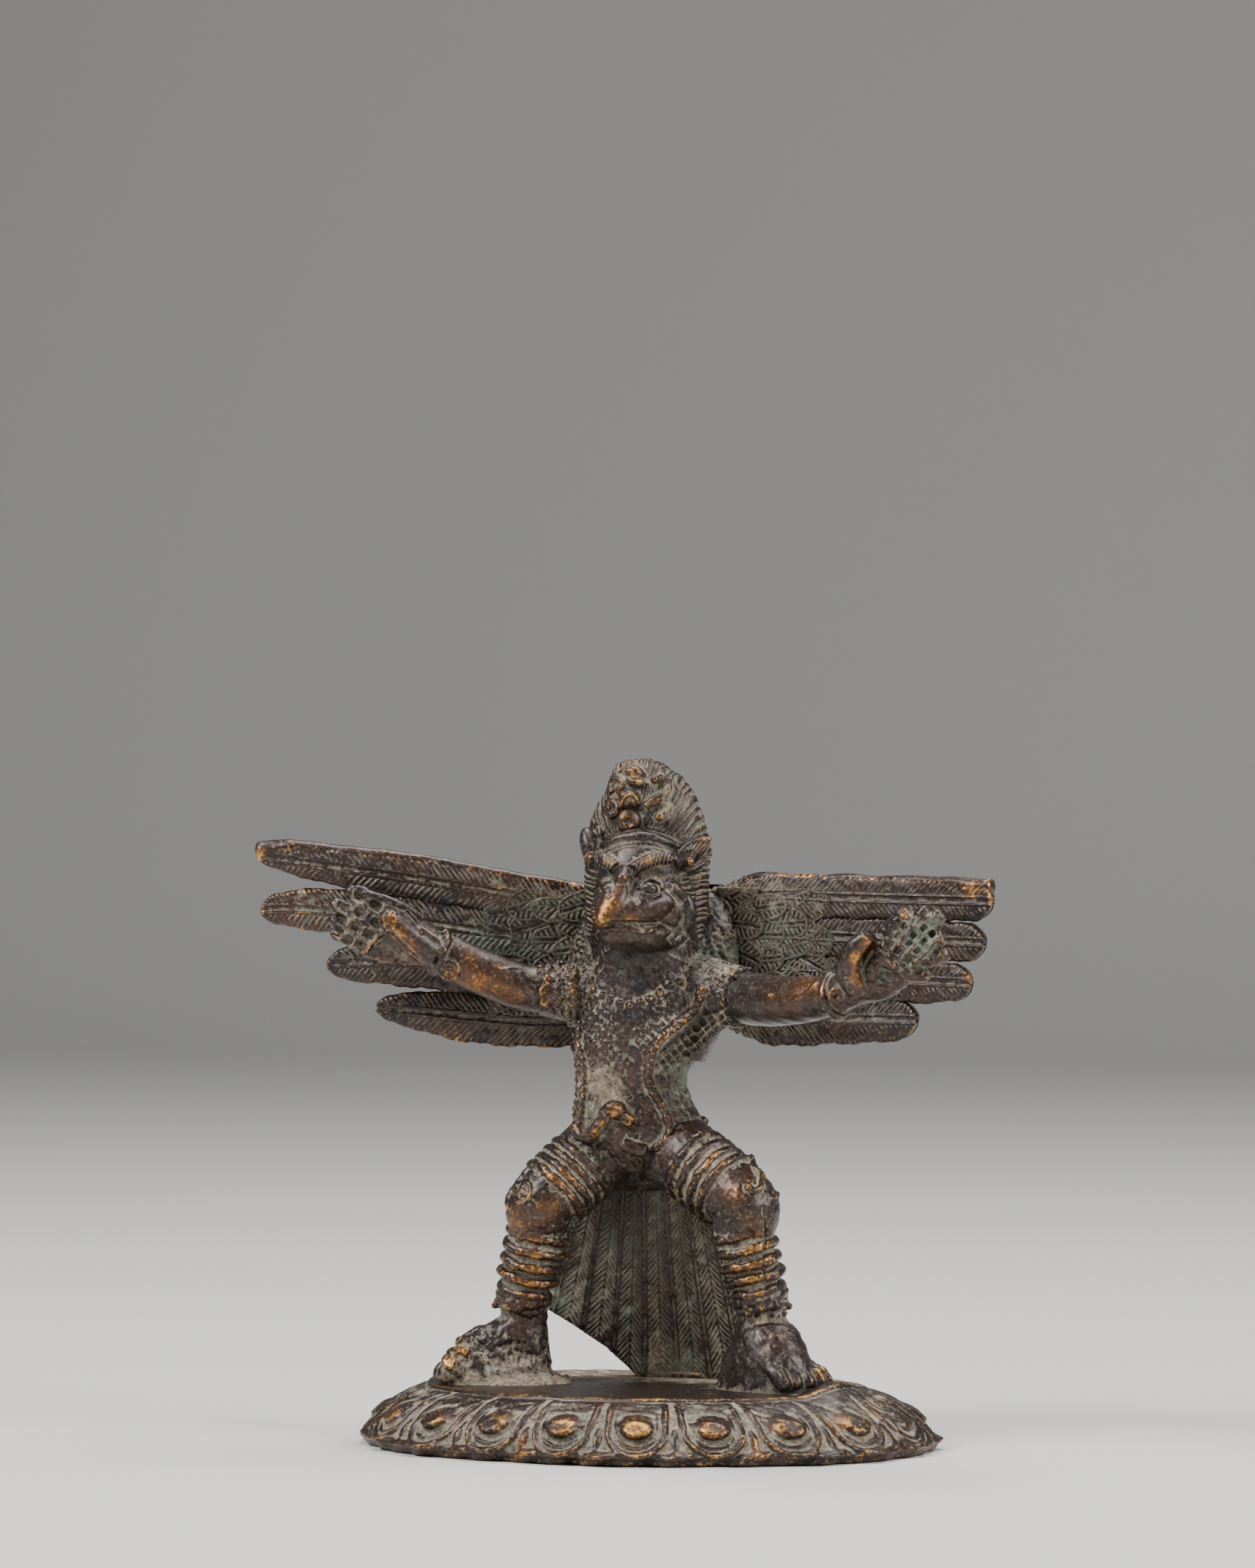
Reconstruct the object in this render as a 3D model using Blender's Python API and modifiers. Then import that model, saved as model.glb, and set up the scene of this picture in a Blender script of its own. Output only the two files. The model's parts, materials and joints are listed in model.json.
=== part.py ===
"""Garuda statue: one bronze casting, a bird-headed figure with spread wings on a lotus base.

Metres, +Z up. The figure faces -Y, so its right hand and right wing are at -X.
The origin is the middle of the bounding box, on the ground.
"""
import math

import bmesh
import bpy
from mathutils import Matrix, Vector

# Driving sizes of the lotus base. The turn sets a petal's middle off the front, in petals.
RIM_WIDTH = 0.0908
RIM_DEPTH = 0.0650
PLATE_WIDTH = 0.070
PLATE_DEPTH = 0.049
BASE_HEIGHT = 0.0094
PLATE_THICKNESS = 0.0026
RIM_WALL = 0.0034
HOLLOW_INSET = 0.0022
PETAL_COUNT = 20
PETAL_TURN = 0.59
PETAL_BOSS = 0.0020
PETAL_EDGE = 0.0011
PETAL_GAP = 0.0005

# Driving sizes of the figure
FIGURE_HEIGHT = 0.0976
WING_THICKNESS = 0.0021
TAIL_THICKNESS = 0.0022
BEAD_RADIUS = 0.00075
SHAFT_HEIGHT = 0.00055
TAIL_RIB_COUNT = 8

# Fineness of the surface
PETAL_COLUMNS = 16
VOXEL = 0.00046
TRIANGLES = 9500

# The pose is written in parts, which divide the figure's height. Heights start at the plate.
PARTS_IN_FIGURE = 97.6
PART = FIGURE_HEIGHT / PARTS_IN_FIGURE

BRONZE_COLOUR = (0.16, 0.105, 0.08, 1.0)
BRONZE_ROUGHNESS = 0.42

UP = Vector((0.0, 0.0, 1.0))
FORWARD = Vector((0.0, -1.0, 0.0))
SIDEWAYS = Vector((1.0, 0.0, 0.0))


def spot(x, y, z):
    """The place in metres of a point of the pose."""
    return Vector((x, y, z)) * PART + UP * BASE_HEIGHT


def smooth_path(points, steps):
    """Points on a smooth curve through a list of vectors of any length."""
    path = []
    last = len(points) - 1
    for index in range(last):
        before = points[max(index - 1, 0)]
        start = points[index]
        end = points[index + 1]
        after = points[min(index + 2, last)]
        for step in range(steps):
            t = step / steps
            path.append(0.5 * (2.0 * start + (end - before) * t
                               + (2.0 * before - 5.0 * start + 4.0 * end - after) * t * t
                               + (3.0 * start - before - 3.0 * end + after) * t ** 3))
    path.append(points[last])
    return path


def cross_section(centre, tangent, side, wide, deep, segments, flutes=0, flute_depth=0.0):
    """A ring of points round a centre, an ellipse square to the tangent, fluted if asked."""
    across = (side - tangent * side.dot(tangent)).normalized()
    other = tangent.cross(across)
    ring = []
    for index in range(segments):
        angle = math.tau * index / segments
        swell = 1.0 + flute_depth * math.cos(flutes * angle)
        ring.append(centre + across * (wide * swell * math.cos(angle))
                    + other * (deep * swell * math.sin(angle)))
    return ring


def skin(mesh, rings, closed=False):
    """Faces between rings of equal count, and a cap on each open end."""
    rows = [[mesh.verts.new(point) for point in ring] for ring in rings]
    count = len(rows[0])
    pairs = list(zip(rows, rows[1:]))
    if closed:
        pairs.append((rows[-1], rows[0]))
    for lower, upper in pairs:
        for index in range(count):
            following = (index + 1) % count
            mesh.faces.new((lower[index], lower[following], upper[following], upper[index]))
    if not closed:
        mesh.faces.new(tuple(reversed(rows[0])))
        mesh.faces.new(tuple(rows[-1]))


def limb(mesh, stations, side=SIDEWAYS, segments=20, steps=5, flutes=0, flute_depth=0.0):
    """A tapering round form through stations of x, y, z, half width and half depth."""
    path = smooth_path([Vector(station) for station in stations], steps)
    centres = [spot(*point[:3]) for point in path]
    rings = []
    for index, point in enumerate(path):
        ahead = centres[min(index + 1, len(path) - 1)]
        behind = centres[max(index - 1, 0)]
        rings.append(cross_section(centres[index], (ahead - behind).normalized(), side,
                                   point[3] * PART, point[4] * PART, segments, flutes, flute_depth))
    skin(mesh, rings)


def lump(mesh, centre, radii, direction=UP):
    """A rounded lump whose third radius lies along a direction."""
    turn = UP.rotation_difference(direction).to_matrix().to_4x4()
    size = Matrix.Diagonal((*(radius * PART for radius in radii), 1.0))
    place = Matrix.Translation(spot(*centre))
    ball = bmesh.new()
    bmesh.ops.create_uvsphere(ball, u_segments=18, v_segments=12, radius=1.0,
                              matrix=place @ turn @ size)
    data = bpy.data.meshes.new("lump")
    ball.to_mesh(data)
    ball.free()
    mesh.from_mesh(data)
    bpy.data.meshes.remove(data)


def hoop(mesh, centre, axis, wide, deep, thickness, side=SIDEWAYS, segments=28):
    """A ring band round a limb, of the limb's own width and depth."""
    tangent = axis.normalized()
    path = cross_section(spot(*centre), tangent, side, wide * PART, deep * PART, segments)
    middle = spot(*centre)
    rings = []
    for index, point in enumerate(path):
        along = (path[(index + 1) % segments] - path[index - 1]).normalized()
        outward = (point - middle).normalized()
        rings.append(cross_section(point, along, outward, thickness * PART, thickness * PART, 8))
    skin(mesh, rings, closed=True)


def cord(mesh, points, radius, steps=5):
    """A round cord of one radius, given in metres, through points of the pose."""
    limb(mesh, [(*point, radius / PART, radius / PART) for point in points], FORWARD, 10, steps)


def bead_row(mesh, points, pitch, radius):
    """Round beads at an even pitch along a smooth line through points of the pose."""
    path = smooth_path([Vector(point) for point in points], 12)
    travelled = 0.0
    for start, end in zip(path, path[1:]):
        travelled += (end - start).length
        if travelled >= pitch:
            travelled -= pitch
            lump(mesh, end, (radius, radius, radius))


# The lotus base
def ellipse_angles(half_width, half_depth, count):
    """Angles that divide an ellipse into stretches of equal length, from the front middle."""
    fine = 3600
    lengths = [0.0]
    for step in range(fine):
        angle = -math.pi / 2.0 + math.tau * (step + 0.5) / fine
        lengths.append(lengths[-1] + math.hypot(half_width * math.sin(angle),
                                                half_depth * math.cos(angle)))
    angles = []
    step = 0
    for index in range(count):
        wanted = lengths[-1] * index / count
        while lengths[step + 1] < wanted:
            step += 1
        angles.append(-math.pi / 2.0 + math.tau * step / fine)
    return angles


def bump(distance):
    """A smooth hill of height 1 at distance 0, level from distance 1 on."""
    if distance >= 1.0:
        return 0.0
    return (1.0 - distance * distance) ** 2


def petal_relief(across, down):
    """Height in metres over the plain skirt, across a petal from -1 to 1 and down from 0 to 1."""
    boss = bump(math.hypot(across / 0.60, (down - 0.60) / 0.27))
    outline = math.hypot(across / 0.84, (down - 0.52) / 0.44)
    edge = bump(abs(outline - 1.0) / 0.20)
    gap = bump((1.0 - abs(across)) / 0.26) * bump((1.0 - down) / 0.62)
    leaf = bump((1.0 - abs(across)) / 0.16) * bump((down - 0.42) / 0.30)
    return PETAL_BOSS * boss + PETAL_EDGE * (edge + leaf) - PETAL_GAP * gap


def skirt_profile(down):
    """Share of the way out to the rim, and height above the ground, down the skirt."""
    out = 1.0 - (1.0 - down) ** 1.35
    height = BASE_HEIGHT * (0.89 - 0.80 * down ** 1.45)
    return out, height


def lotus_base(mesh):
    columns = PETAL_COUNT * PETAL_COLUMNS
    rows = 16
    half_plate = Vector((PLATE_WIDTH / 2.0, PLATE_DEPTH / 2.0))
    half_rim = Vector((RIM_WIDTH / 2.0, RIM_DEPTH / 2.0))
    angles = ellipse_angles(half_rim.x, half_rim.y, columns)

    def ring(size, height, relief=None):
        points = []
        for index, angle in enumerate(angles):
            flat = Vector((size.x * math.cos(angle), size.y * math.sin(angle), 0.0))
            if relief:
                across = ((index / PETAL_COLUMNS - PETAL_TURN + 0.5) % 1.0) * 2.0 - 1.0
                flat += flat.normalized() * relief(across)
            points.append(flat + UP * height)
        return points

    sunk = UP * PLATE_THICKNESS
    rings = [ring(half_plate * 0.05, BASE_HEIGHT), ring(half_plate * 0.992, BASE_HEIGHT),
             ring(half_plate, BASE_HEIGHT * 0.96), ring(half_plate * 0.985, BASE_HEIGHT * 0.90)]
    for row in range(1, rows + 1):
        down = row / rows
        out, height = skirt_profile(down)
        size = half_plate * 0.985 * (1.0 - out) + half_rim * out
        rings.append(ring(size, height, lambda across, down=down: petal_relief(across, down)))
    rings.append(ring(half_rim, -sunk.z, lambda across: petal_relief(across, 1.0)))
    skin(mesh, list(reversed(rings)))


def underside_cutter():
    """The hollow under the base, and everything below the ground."""
    mesh = bmesh.new()
    top_height = BASE_HEIGHT - PLATE_THICKNESS
    wide = Vector((RIM_WIDTH / 2.0 - RIM_WALL, RIM_DEPTH / 2.0 - RIM_WALL))
    narrow = Vector((PLATE_WIDTH / 2.0 - HOLLOW_INSET, PLATE_DEPTH / 2.0 - HOLLOW_INSET))
    mouth = wide + (wide - narrow) * (BASE_HEIGHT / top_height)
    rings = []
    for size, height in ((mouth, -BASE_HEIGHT), (wide, 0.0), (narrow, top_height)):
        rings.append(cross_section(UP * height, UP, SIDEWAYS, size.x, size.y, 72))
    skin(mesh, rings)
    return finish(mesh, "underside_cutter")


def ground_cutter():
    mesh = bmesh.new()
    size = Matrix.Diagonal((RIM_WIDTH * 2.0, RIM_DEPTH * 2.0, BASE_HEIGHT, 1.0))
    bmesh.ops.create_cube(mesh, size=1.0, matrix=Matrix.Translation(UP * -BASE_HEIGHT / 2.0) @ size)
    return finish(mesh, "ground_cutter")


# Legs and feet
def leg(mesh, hip, knee, ankle, shin_width):
    middle = tuple((a + b) / 2.0 for a, b in zip(hip, knee))
    limb(mesh, [(*hip, 6.0, 6.2), (*middle, 5.7, 5.8), (*knee, 4.9, 5.0),
                (knee[0], knee[1] + 0.6, knee[2] - 3.2, 4.2, 4.4)], FORWARD)
    lump(mesh, knee, (5.0, 5.2, 5.2))
    shin_top = (knee[0], knee[1] + 0.8, knee[2] - 5.5)
    shin_low = (ankle[0], ankle[1] - 0.6, ankle[2] + 4.0)
    limb(mesh, [(knee[0], knee[1], knee[2], 4.2, 4.4), (*shin_top, shin_width, shin_width),
                (*shin_low, shin_width * 0.9, shin_width * 0.9), (*ankle, 3.0, 3.2),
                (ankle[0], ankle[1] + 0.4, ankle[2] - 6.5, 3.6, 3.8)])
    shin = Vector(shin_low) - Vector(shin_top)
    for share in (-0.02, 0.22, 0.45, 0.67):
        hoop(mesh, Vector(shin_top) + shin * share, shin, shin_width + 0.3, shin_width + 0.3, 0.85)
    for share, thick in ((0.92, 0.95), (1.10, 0.9)):
        hoop(mesh, Vector(shin_top) + shin * share, shin, shin_width, shin_width, thick)
    thigh = Vector(knee) - Vector(hip)
    for share in (0.34, 0.47, 0.60, 0.73):
        hoop(mesh, Vector(hip) + thigh * share, thigh, 5.7, 5.8, 0.8, FORWARD)


def foot(mesh, heel, toes, width):
    """A long foot on the plate, its arch under the ankle, with four toes and a big one."""
    along = (Vector(toes) - Vector(heel)).normalized()
    across = along.cross(UP)
    length = (Vector(toes) - Vector(heel)).length
    profile = ((0.0, 0.70, 3.0), (0.12, 0.92, 4.6), (0.34, 1.0, 6.2), (0.58, 0.98, 5.6),
               (0.80, 1.05, 4.4), (0.96, 1.0, 3.0))
    stations = []
    for share, spread, tall in profile:
        point = Vector(heel) + along * (length * share)
        stations.append((point.x, point.y, tall * 0.55, width * spread, tall * 0.9))
    limb(mesh, stations, across)
    for index in range(5):
        sidestep = (index - 2) * width * 0.42
        reach = length * (0.98 - 0.03 * abs(index - 1))
        tip = Vector(heel) + along * reach + across * sidestep
        lump(mesh, (tip.x, tip.y, 2.2), (1.1, 1.8, 2.2), along)


def legs(mesh):
    leg(mesh, (-7.4, 1.0, 36.6), (-16.8, -5.6, 28.8), (-19.0, -3.2, 9.4), 3.9)
    leg(mesh, (3.6, 1.0, 37.0), (17.8, -5.8, 29.4), (19.2, -3.2, 10.2), 3.9)
    foot(mesh, (-14.6, -0.4, 0.0), (-30.6, -6.2, 0.0), 4.2)
    foot(mesh, (12.8, -0.6, 0.0), (27.8, -5.4, 0.0), 4.8)
    for knee in ((-19.6, -8.2, 29.6), (21.4, -7.8, 30.2)):
        lump(mesh, knee, (2.0, 1.5, 3.4))


# Body, neck and head
def torso(mesh):
    limb(mesh, [(-2.0, 1.5, 34.0, 5.0, 5.0), (-2.2, 1.0, 38.6, 10.2, 6.8), (-3.0, 0.8, 42.6, 9.0, 6.6),
                (-3.2, 0.6, 46.6, 8.3, 6.5), (-2.3, 0.4, 50.6, 9.5, 6.8), (-0.6, 0.4, 55.6, 11.2, 7.2),
                (-0.3, 0.6, 60.6, 10.6, 6.9), (0.2, 0.6, 64.8, 8.8, 6.8), (0.3, 0.2, 69.0, 7.8, 7.0),
                (0.3, 0.0, 74.0, 7.2, 7.0)], segments=28)


def strands(mesh):
    """Two beaded snakes down the front, crossing at the belly, one with its head raised."""
    right_path = [(-9.6, -3.0, 64.4), (-11.0, -3.2, 60.0), (-11.2, -3.6, 57.0), (-10.4, -4.4, 51.0),
                  (-9.4, -4.8, 46.4), (-9.6, -4.6, 42.0), (-9.0, -5.4, 39.0), (-6.6, -7.6, 38.2),
                  (-4.8, -8.8, 40.0), (-3.4, -9.4, 42.2)]
    left_path = [(9.4, -2.6, 63.2), (8.6, -4.0, 59.6), (6.2, -5.8, 56.2), (3.6, -6.8, 53.8),
                 (2.2, -6.8, 51.0), (2.0, -6.4, 47.4), (3.2, -6.2, 43.6), (4.4, -6.2, 40.6),
                 (3.4, -6.8, 37.8), (0.4, -7.2, 37.0), (-2.8, -7.2, 37.8)]
    for path in (right_path, left_path):
        cord(mesh, path, BEAD_RADIUS * 1.25)
        bead_row(mesh, path, 1.9, BEAD_RADIUS / PART * 1.5)
    lump(mesh, (-2.6, -9.8, 42.8), (1.5, 1.5, 2.0), Vector((0.9, -0.4, 0.2)))
    limb(mesh, [(-2.2, -10.0, 42.8, 1.2, 1.2), (-0.6, -10.6, 42.0, 0.9, 0.9),
                (0.4, -10.8, 41.0, 0.4, 0.4)], UP, 10)


def crest(mesh):
    """The mane down both sides of the face and the crest above it, in combed locks."""
    limb(mesh, [(-0.4, 2.8, 65.0, 8.6, 4.2), (-0.8, 3.0, 70.6, 9.6, 5.4), (-0.9, 3.0, 77.0, 10.0, 6.2),
                (-0.9, 3.0, 84.0, 10.2, 6.6), (-1.0, 2.8, 89.6, 9.2, 6.2), (-1.9, 2.4, 93.9, 6.2, 4.8),
                (-2.2, 2.0, 96.0, 3.8, 3.0), (-2.4, 1.8, 97.0, 2.0, 1.6)],
         segments=110, flutes=22, flute_depth=0.06)


def face(mesh):
    """Skull, hooked beak, round muzzle and jaw with the mouth between them."""
    lump(mesh, (-0.5, -1.6, 78.2), (7.4, 7.2, 8.2))
    lump(mesh, (0.6, -4.6, 73.6), (6.2, 5.4, 3.9))
    lump(mesh, (0.2, -4.2, 69.6), (5.9, 5.2, 3.3))
    limb(mesh, [(-1.9, -6.4, 80.0, 1.6, 1.6), (-2.2, -9.0, 77.6, 2.4, 2.4), (-2.8, -11.6, 75.0, 2.6, 2.6),
                (-3.5, -13.2, 72.6, 1.5, 1.7), (-3.7, -13.7, 71.5, 0.7, 0.8)], SIDEWAYS)
    limb(mesh, [(0.0, -6.4, 73.6, 4.6, 2.4), (-1.6, -9.4, 73.6, 3.4, 2.0), (-3.0, -12.4, 73.0, 1.8, 1.3)])
    limb(mesh, [(0.0, -6.0, 69.4, 4.2, 1.9), (-1.6, -9.2, 69.6, 2.9, 1.3), (-2.6, -11.0, 70.0, 1.5, 0.8)])
    for eye in ((2.6, -8.0, 77.2), (-4.7, -7.6, 77.2)):
        lump(mesh, eye, (1.4, 1.1, 1.1))
    for brow in ([(-0.6, -9.0, 79.0), (1.8, -8.6, 80.4), (4.6, -7.0, 81.4)],
                 [(-2.8, -9.0, 79.6), (-4.2, -8.8, 80.8), (-5.8, -7.6, 81.4)]):
        cord(mesh, brow, 1.05 * PART)
    cord(mesh, [(4.8, -6.6, 77.6), (6.6, -5.2, 75.4), (6.8, -4.8, 72.4), (6.2, -5.0, 69.4)], 0.8 * PART)


def diadem(mesh):
    """The band over the brow, the ears at its ends and the stacked discs with their scrolls."""
    cord(mesh, [(-6.6, -5.4, 83.2), (-4.4, -7.0, 84.6), (-0.8, -7.8, 85.2), (2.6, -7.2, 84.4),
                (5.6, -5.4, 83.2)], 0.95 * PART)
    lump(mesh, (7.9, -3.0, 82.4), (1.6, 2.2, 3.4), Vector((0.75, 0.1, 0.6)))
    lump(mesh, (-8.4, -2.6, 82.8), (1.5, 2.0, 3.3), Vector((-0.3, 0.2, 0.9)))
    toward = Vector((-0.2, -0.97, 0.1)).normalized()
    for disc, size in (((-1.3, -5.6, 87.8), 2.0), ((-1.3, -5.2, 91.2), 1.9), ((-0.9, -3.8, 94.4), 1.7)):
        lump(mesh, disc, (size, size, 1.7), toward)
    for scroll in ([(1.8, -3.6, 94.0), (3.0, -4.0, 92.4), (1.9, -5.2, 90.6), (3.0, -5.2, 88.8)],
                   [(-4.0, -3.8, 93.8), (-4.8, -4.4, 91.8), (-4.6, -5.2, 89.4)]):
        cord(mesh, scroll, 0.8 * PART)


def necklace(mesh):
    path = [(-6.6, -5.6, 61.8), (-4.2, -6.9, 60.0), (-0.6, -7.4, 59.2), (2.6, -7.0, 60.4), (5.2, -5.9, 62.4)]
    bead_row(mesh, path, 1.7, 0.8)


# Arms and hands
def arm(mesh, stations, bracelet, beads):
    limb(mesh, stations, UP)
    wrist = Vector(stations[-2][:3])
    forearm = wrist - Vector(stations[-3][:3])
    hoop(mesh, wrist, forearm, bracelet, bracelet, 0.85, UP)
    elbow = Vector(stations[beads][:3])
    upper = elbow - Vector(stations[beads - 1][:3])
    hoop(mesh, elbow - upper * 0.3, upper, stations[beads][3] + 0.1, stations[beads][4] + 0.1, 0.8, UP)


def hand(mesh, palm, palm_radii, palm_direction, knuckles, tips, finger, thumb):
    """A palm, four fingers of three swellings each from a line of knuckles, and a thumb."""
    lump(mesh, palm, palm_radii, palm_direction)
    first, last = (Vector(knuckle) for knuckle in knuckles)
    for index, tip in enumerate(tips):
        root = first.lerp(last, index / 3.0)
        limb(mesh, [(*root, finger, finger), (*root.lerp(Vector(tip), 0.5), finger * 0.9, finger * 0.9),
                    (*tip, finger * 0.75, finger * 0.75)], UP, 10, 3)
        for share in (0.18, 0.52, 0.86):
            lump(mesh, root.lerp(Vector(tip), share) + Vector((0.0, -0.35, 0.0)),
                 (finger, finger, finger * 1.15), (Vector(tip) - root).normalized())
    cord(mesh, thumb, 1.45 * PART)
    lump(mesh, thumb[-1], (1.7, 1.5, 1.8))


def arms(mesh):
    arm(mesh, [(-7.0, 1.0, 61.6, 4.4, 4.4), (-13.6, 0.0, 60.4, 4.4, 4.4), (-19.0, -2.4, 60.8, 4.3, 4.0),
               (-25.0, -5.4, 63.6, 3.8, 3.5), (-31.2, -8.2, 67.0, 3.3, 2.6),
               (-36.6, -9.4, 67.6, 2.6, 1.9)], 3.3, 2)
    hand(mesh, (-37.6, -9.6, 67.6), (3.6, 1.9, 4.6), Vector((-0.9, -0.1, 0.3)),
         ((-38.8, -10.4, 70.8), (-42.2, -10.4, 66.8)),
         ((-44.6, -12.2, 76.6), (-47.2, -12.2, 74.4), (-47.4, -12.0, 71.9), (-47.0, -11.6, 69.4)),
         1.25, [(-33.6, -9.6, 67.4), (-37.0, -11.6, 70.0), (-39.6, -12.8, 72.6)])
    arm(mesh, [(7.0, 1.0, 62.4, 4.6, 4.6), (13.6, -0.8, 60.6, 4.7, 4.5), (20.0, -5.0, 59.6, 4.4, 4.2),
               (27.6, -10.6, 60.0, 3.9, 3.7), (34.6, -15.0, 61.2, 3.3, 2.8),
               (40.6, -17.6, 63.6, 3.0, 2.0)], 3.3, 2)
    hand(mesh, (41.6, -18.0, 64.4), (4.4, 2.2, 5.0), Vector((0.7, -0.2, 0.7)),
         ((43.0, -19.4, 68.8), (47.4, -18.8, 64.8)),
         ((46.2, -21.6, 73.6), (49.0, -21.6, 73.8), (51.6, -20.8, 72.6), (53.0, -19.8, 69.8)),
         1.35, [(37.4, -18.4, 63.0), (39.0, -20.6, 67.0), (42.6, -21.8, 71.4)])


# Wings and tail
def right_bow(x):
    """How far back the right wing lies at x: behind the shoulder, bowed forward to the tip."""
    share = (-x - 10.0) / 52.0
    return 9.5 - 24.0 * share + 9.0 * share * share


def left_bow(x):
    share = (x - 8.0) / 48.0
    return 8.5 - 13.0 * share - 3.5 * share * share


def feather(mesh, bow, stations, lean=0.0, columns=9, steps=10):
    """A long feather through stations of x, height and half width, round at the tip.

    The blade is bowed back by the wing, roofed up to a shaft, and leans back at its lower edge."""
    path = smooth_path([Vector(station) for station in stations], steps)
    front_rows = []
    back_rows = []
    tip_start = path[-1].x - math.copysign(stations[-1][2] * 1.3, path[-1].x)
    for point in path:
        past = (point.x - tip_start) / (path[-1].x - tip_start)
        rounding = math.sqrt(max(1.0 - max(past, 0.0) ** 2, 0.02))
        front = []
        back = []
        for column in range(columns):
            across = 2.0 * column / (columns - 1) - 1.0
            height = point.y + across * point.z * rounding
            depth = bow(point.x) + lean * across
            edge = spot(point.x, depth, height)
            relief = SHAFT_HEIGHT * bump(abs(across) / 0.22) + 0.35 * PART * (1.0 - across * across)
            front.append(edge + FORWARD * (WING_THICKNESS * 0.5 + relief))
            back.append(edge - FORWARD * (WING_THICKNESS * 0.5))
        front_rows.append(front)
        back_rows.append(back)
    flip = path[-1].x > 0.0
    rings = [front + list(reversed(back)) for front, back in zip(front_rows, back_rows)]
    if flip:
        rings.reverse()
    skin(mesh, rings)


def wing(mesh, bow, feathers, coverts, rolled_edge):
    for index, stations in enumerate(feathers):
        feather(mesh, bow, stations, 0.25)
    limb(mesh, [(x, bow(x), height, radius, radius) for x, height, radius in rolled_edge], UP, 12)
    rows, first, last, low, high = coverts
    for row in range(rows):
        x = first + (last - first) * row / (rows - 1)
        count = 4 + row % 2
        for index in range(count):
            height = low + (high - low) * (index + 0.5) / count
            lump(mesh, (x, bow(x) - 0.75, height), (2.5, 0.95, 2.9), UP)


def right_wing(mesh):
    feathers = (
        [(-9.0, 73.6, 3.4), (-24.0, 76.2, 3.3), (-38.0, 78.6, 3.4), (-53.0, 80.8, 2.8), (-62.4, 82.2, 1.7)],
        [(-9.0, 67.8, 3.8), (-24.0, 69.8, 4.0), (-38.0, 71.8, 4.2), (-53.0, 73.4, 3.7), (-61.2, 73.0, 2.8)],
        [(-9.0, 61.8, 3.8), (-24.0, 63.6, 4.0), (-38.0, 65.4, 4.0), (-46.0, 65.2, 3.4), (-51.2, 64.6, 2.4)],
        [(-9.0, 56.0, 3.8), (-20.0, 56.0, 4.0), (-30.0, 56.9, 4.1), (-38.0, 57.8, 2.9), (-43.4, 58.3, 1.7)])
    edge = [(-10.0, 75.6, 1.5), (-24.0, 78.2, 1.5), (-38.0, 80.9, 1.5), (-53.0, 82.8, 1.4), (-62.2, 83.0, 1.7)]
    wing(mesh, right_bow, feathers, (4, -13.0, -26.0, 60.0, 76.0), edge)


def left_wing(mesh):
    feathers = (
        [(7.0, 73.6, 3.2), (18.0, 76.0, 3.4), (30.0, 75.8, 3.4), (44.0, 75.6, 3.3), (57.2, 75.5, 3.0)],
        [(7.0, 68.6, 3.4), (18.0, 70.0, 3.4), (30.0, 69.7, 3.4), (44.0, 69.4, 3.4), (55.9, 69.2, 2.8)],
        [(7.0, 62.8, 3.4), (18.0, 63.8, 3.6), (30.0, 63.6, 3.6), (44.0, 63.2, 3.5), (53.6, 63.0, 2.6)],
        [(9.0, 58.4, 2.2), (18.0, 57.0, 4.2), (30.0, 57.0, 3.9), (38.0, 57.2, 3.6), (44.2, 57.2, 2.8)])
    edge = [(8.0, 74.4, 1.3), (18.0, 78.2, 1.4), (30.0, 78.0, 1.4), (44.0, 77.8, 1.4), (56.6, 76.8, 1.7)]
    wing(mesh, left_bow, feathers, (4, 13.0, 27.0, 60.0, 77.0), edge)


def shoulder_blades(mesh):
    lump(mesh, (-7.6, 6.4, 65.0), (6.6, 4.0, 10.6))
    lump(mesh, (7.2, 6.0, 66.4), (6.2, 4.0, 10.4))


def tail(mesh):
    """A concave fan of ribs behind the legs, its foot joined to the plate."""
    pivot_height = 75.0
    spread = math.radians(16.6)
    columns = TAIL_RIB_COUNT * 6
    rows = 22
    rings = []
    for row in range(rows + 1):
        down = row / rows
        front = []
        back = []
        for column in range(columns + 1):
            across = 2.0 * column / columns - 1.0
            angle = across * spread
            corner = 1.0 - bump((1.0 - abs(across)) / 0.62) * 0.30
            reach = (38.0 + 37.2 * down * corner) / math.cos(angle)
            x = -1.0 + reach * math.sin(angle)
            z = pivot_height - reach * math.cos(angle)
            depth = 8.6 + down * (5.6 * (1.0 - across * across) - 0.6)
            rib = (column / columns * TAIL_RIB_COUNT + 0.5) % 1.0
            relief = 0.6 * PART * bump(abs(rib - 0.5) / 0.30)
            front.append(spot(x, depth, z) + FORWARD * (TAIL_THICKNESS * 0.5 + relief))
            back.append(spot(x, depth, z) - FORWARD * (TAIL_THICKNESS * 0.5))
        rings.append(front + list(reversed(back)))
    skin(mesh, rings)
    limb(mesh, [(-9.0, 12.4, 0.0, 1.0, 1.2), (0.5, 13.6, 0.2, 1.5, 2.0), (10.0, 12.4, 0.0, 1.0, 1.2)], UP, 14)
    limb(mesh, [(-2.0, 3.0, 42.0, 8.0, 5.0), (-1.6, 6.5, 36.0, 8.4, 3.4), (-1.4, 8.6, 30.0, 7.4, 1.6)])


# Making the one casting
def bronze():
    material = bpy.data.materials.new("bronze")
    material.use_nodes = True
    shader = material.node_tree.nodes["Principled BSDF"]
    shader.inputs["Base Color"].default_value = BRONZE_COLOUR
    shader.inputs["Metallic"].default_value = 1.0
    shader.inputs["Roughness"].default_value = BRONZE_ROUGHNESS
    return material


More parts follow.
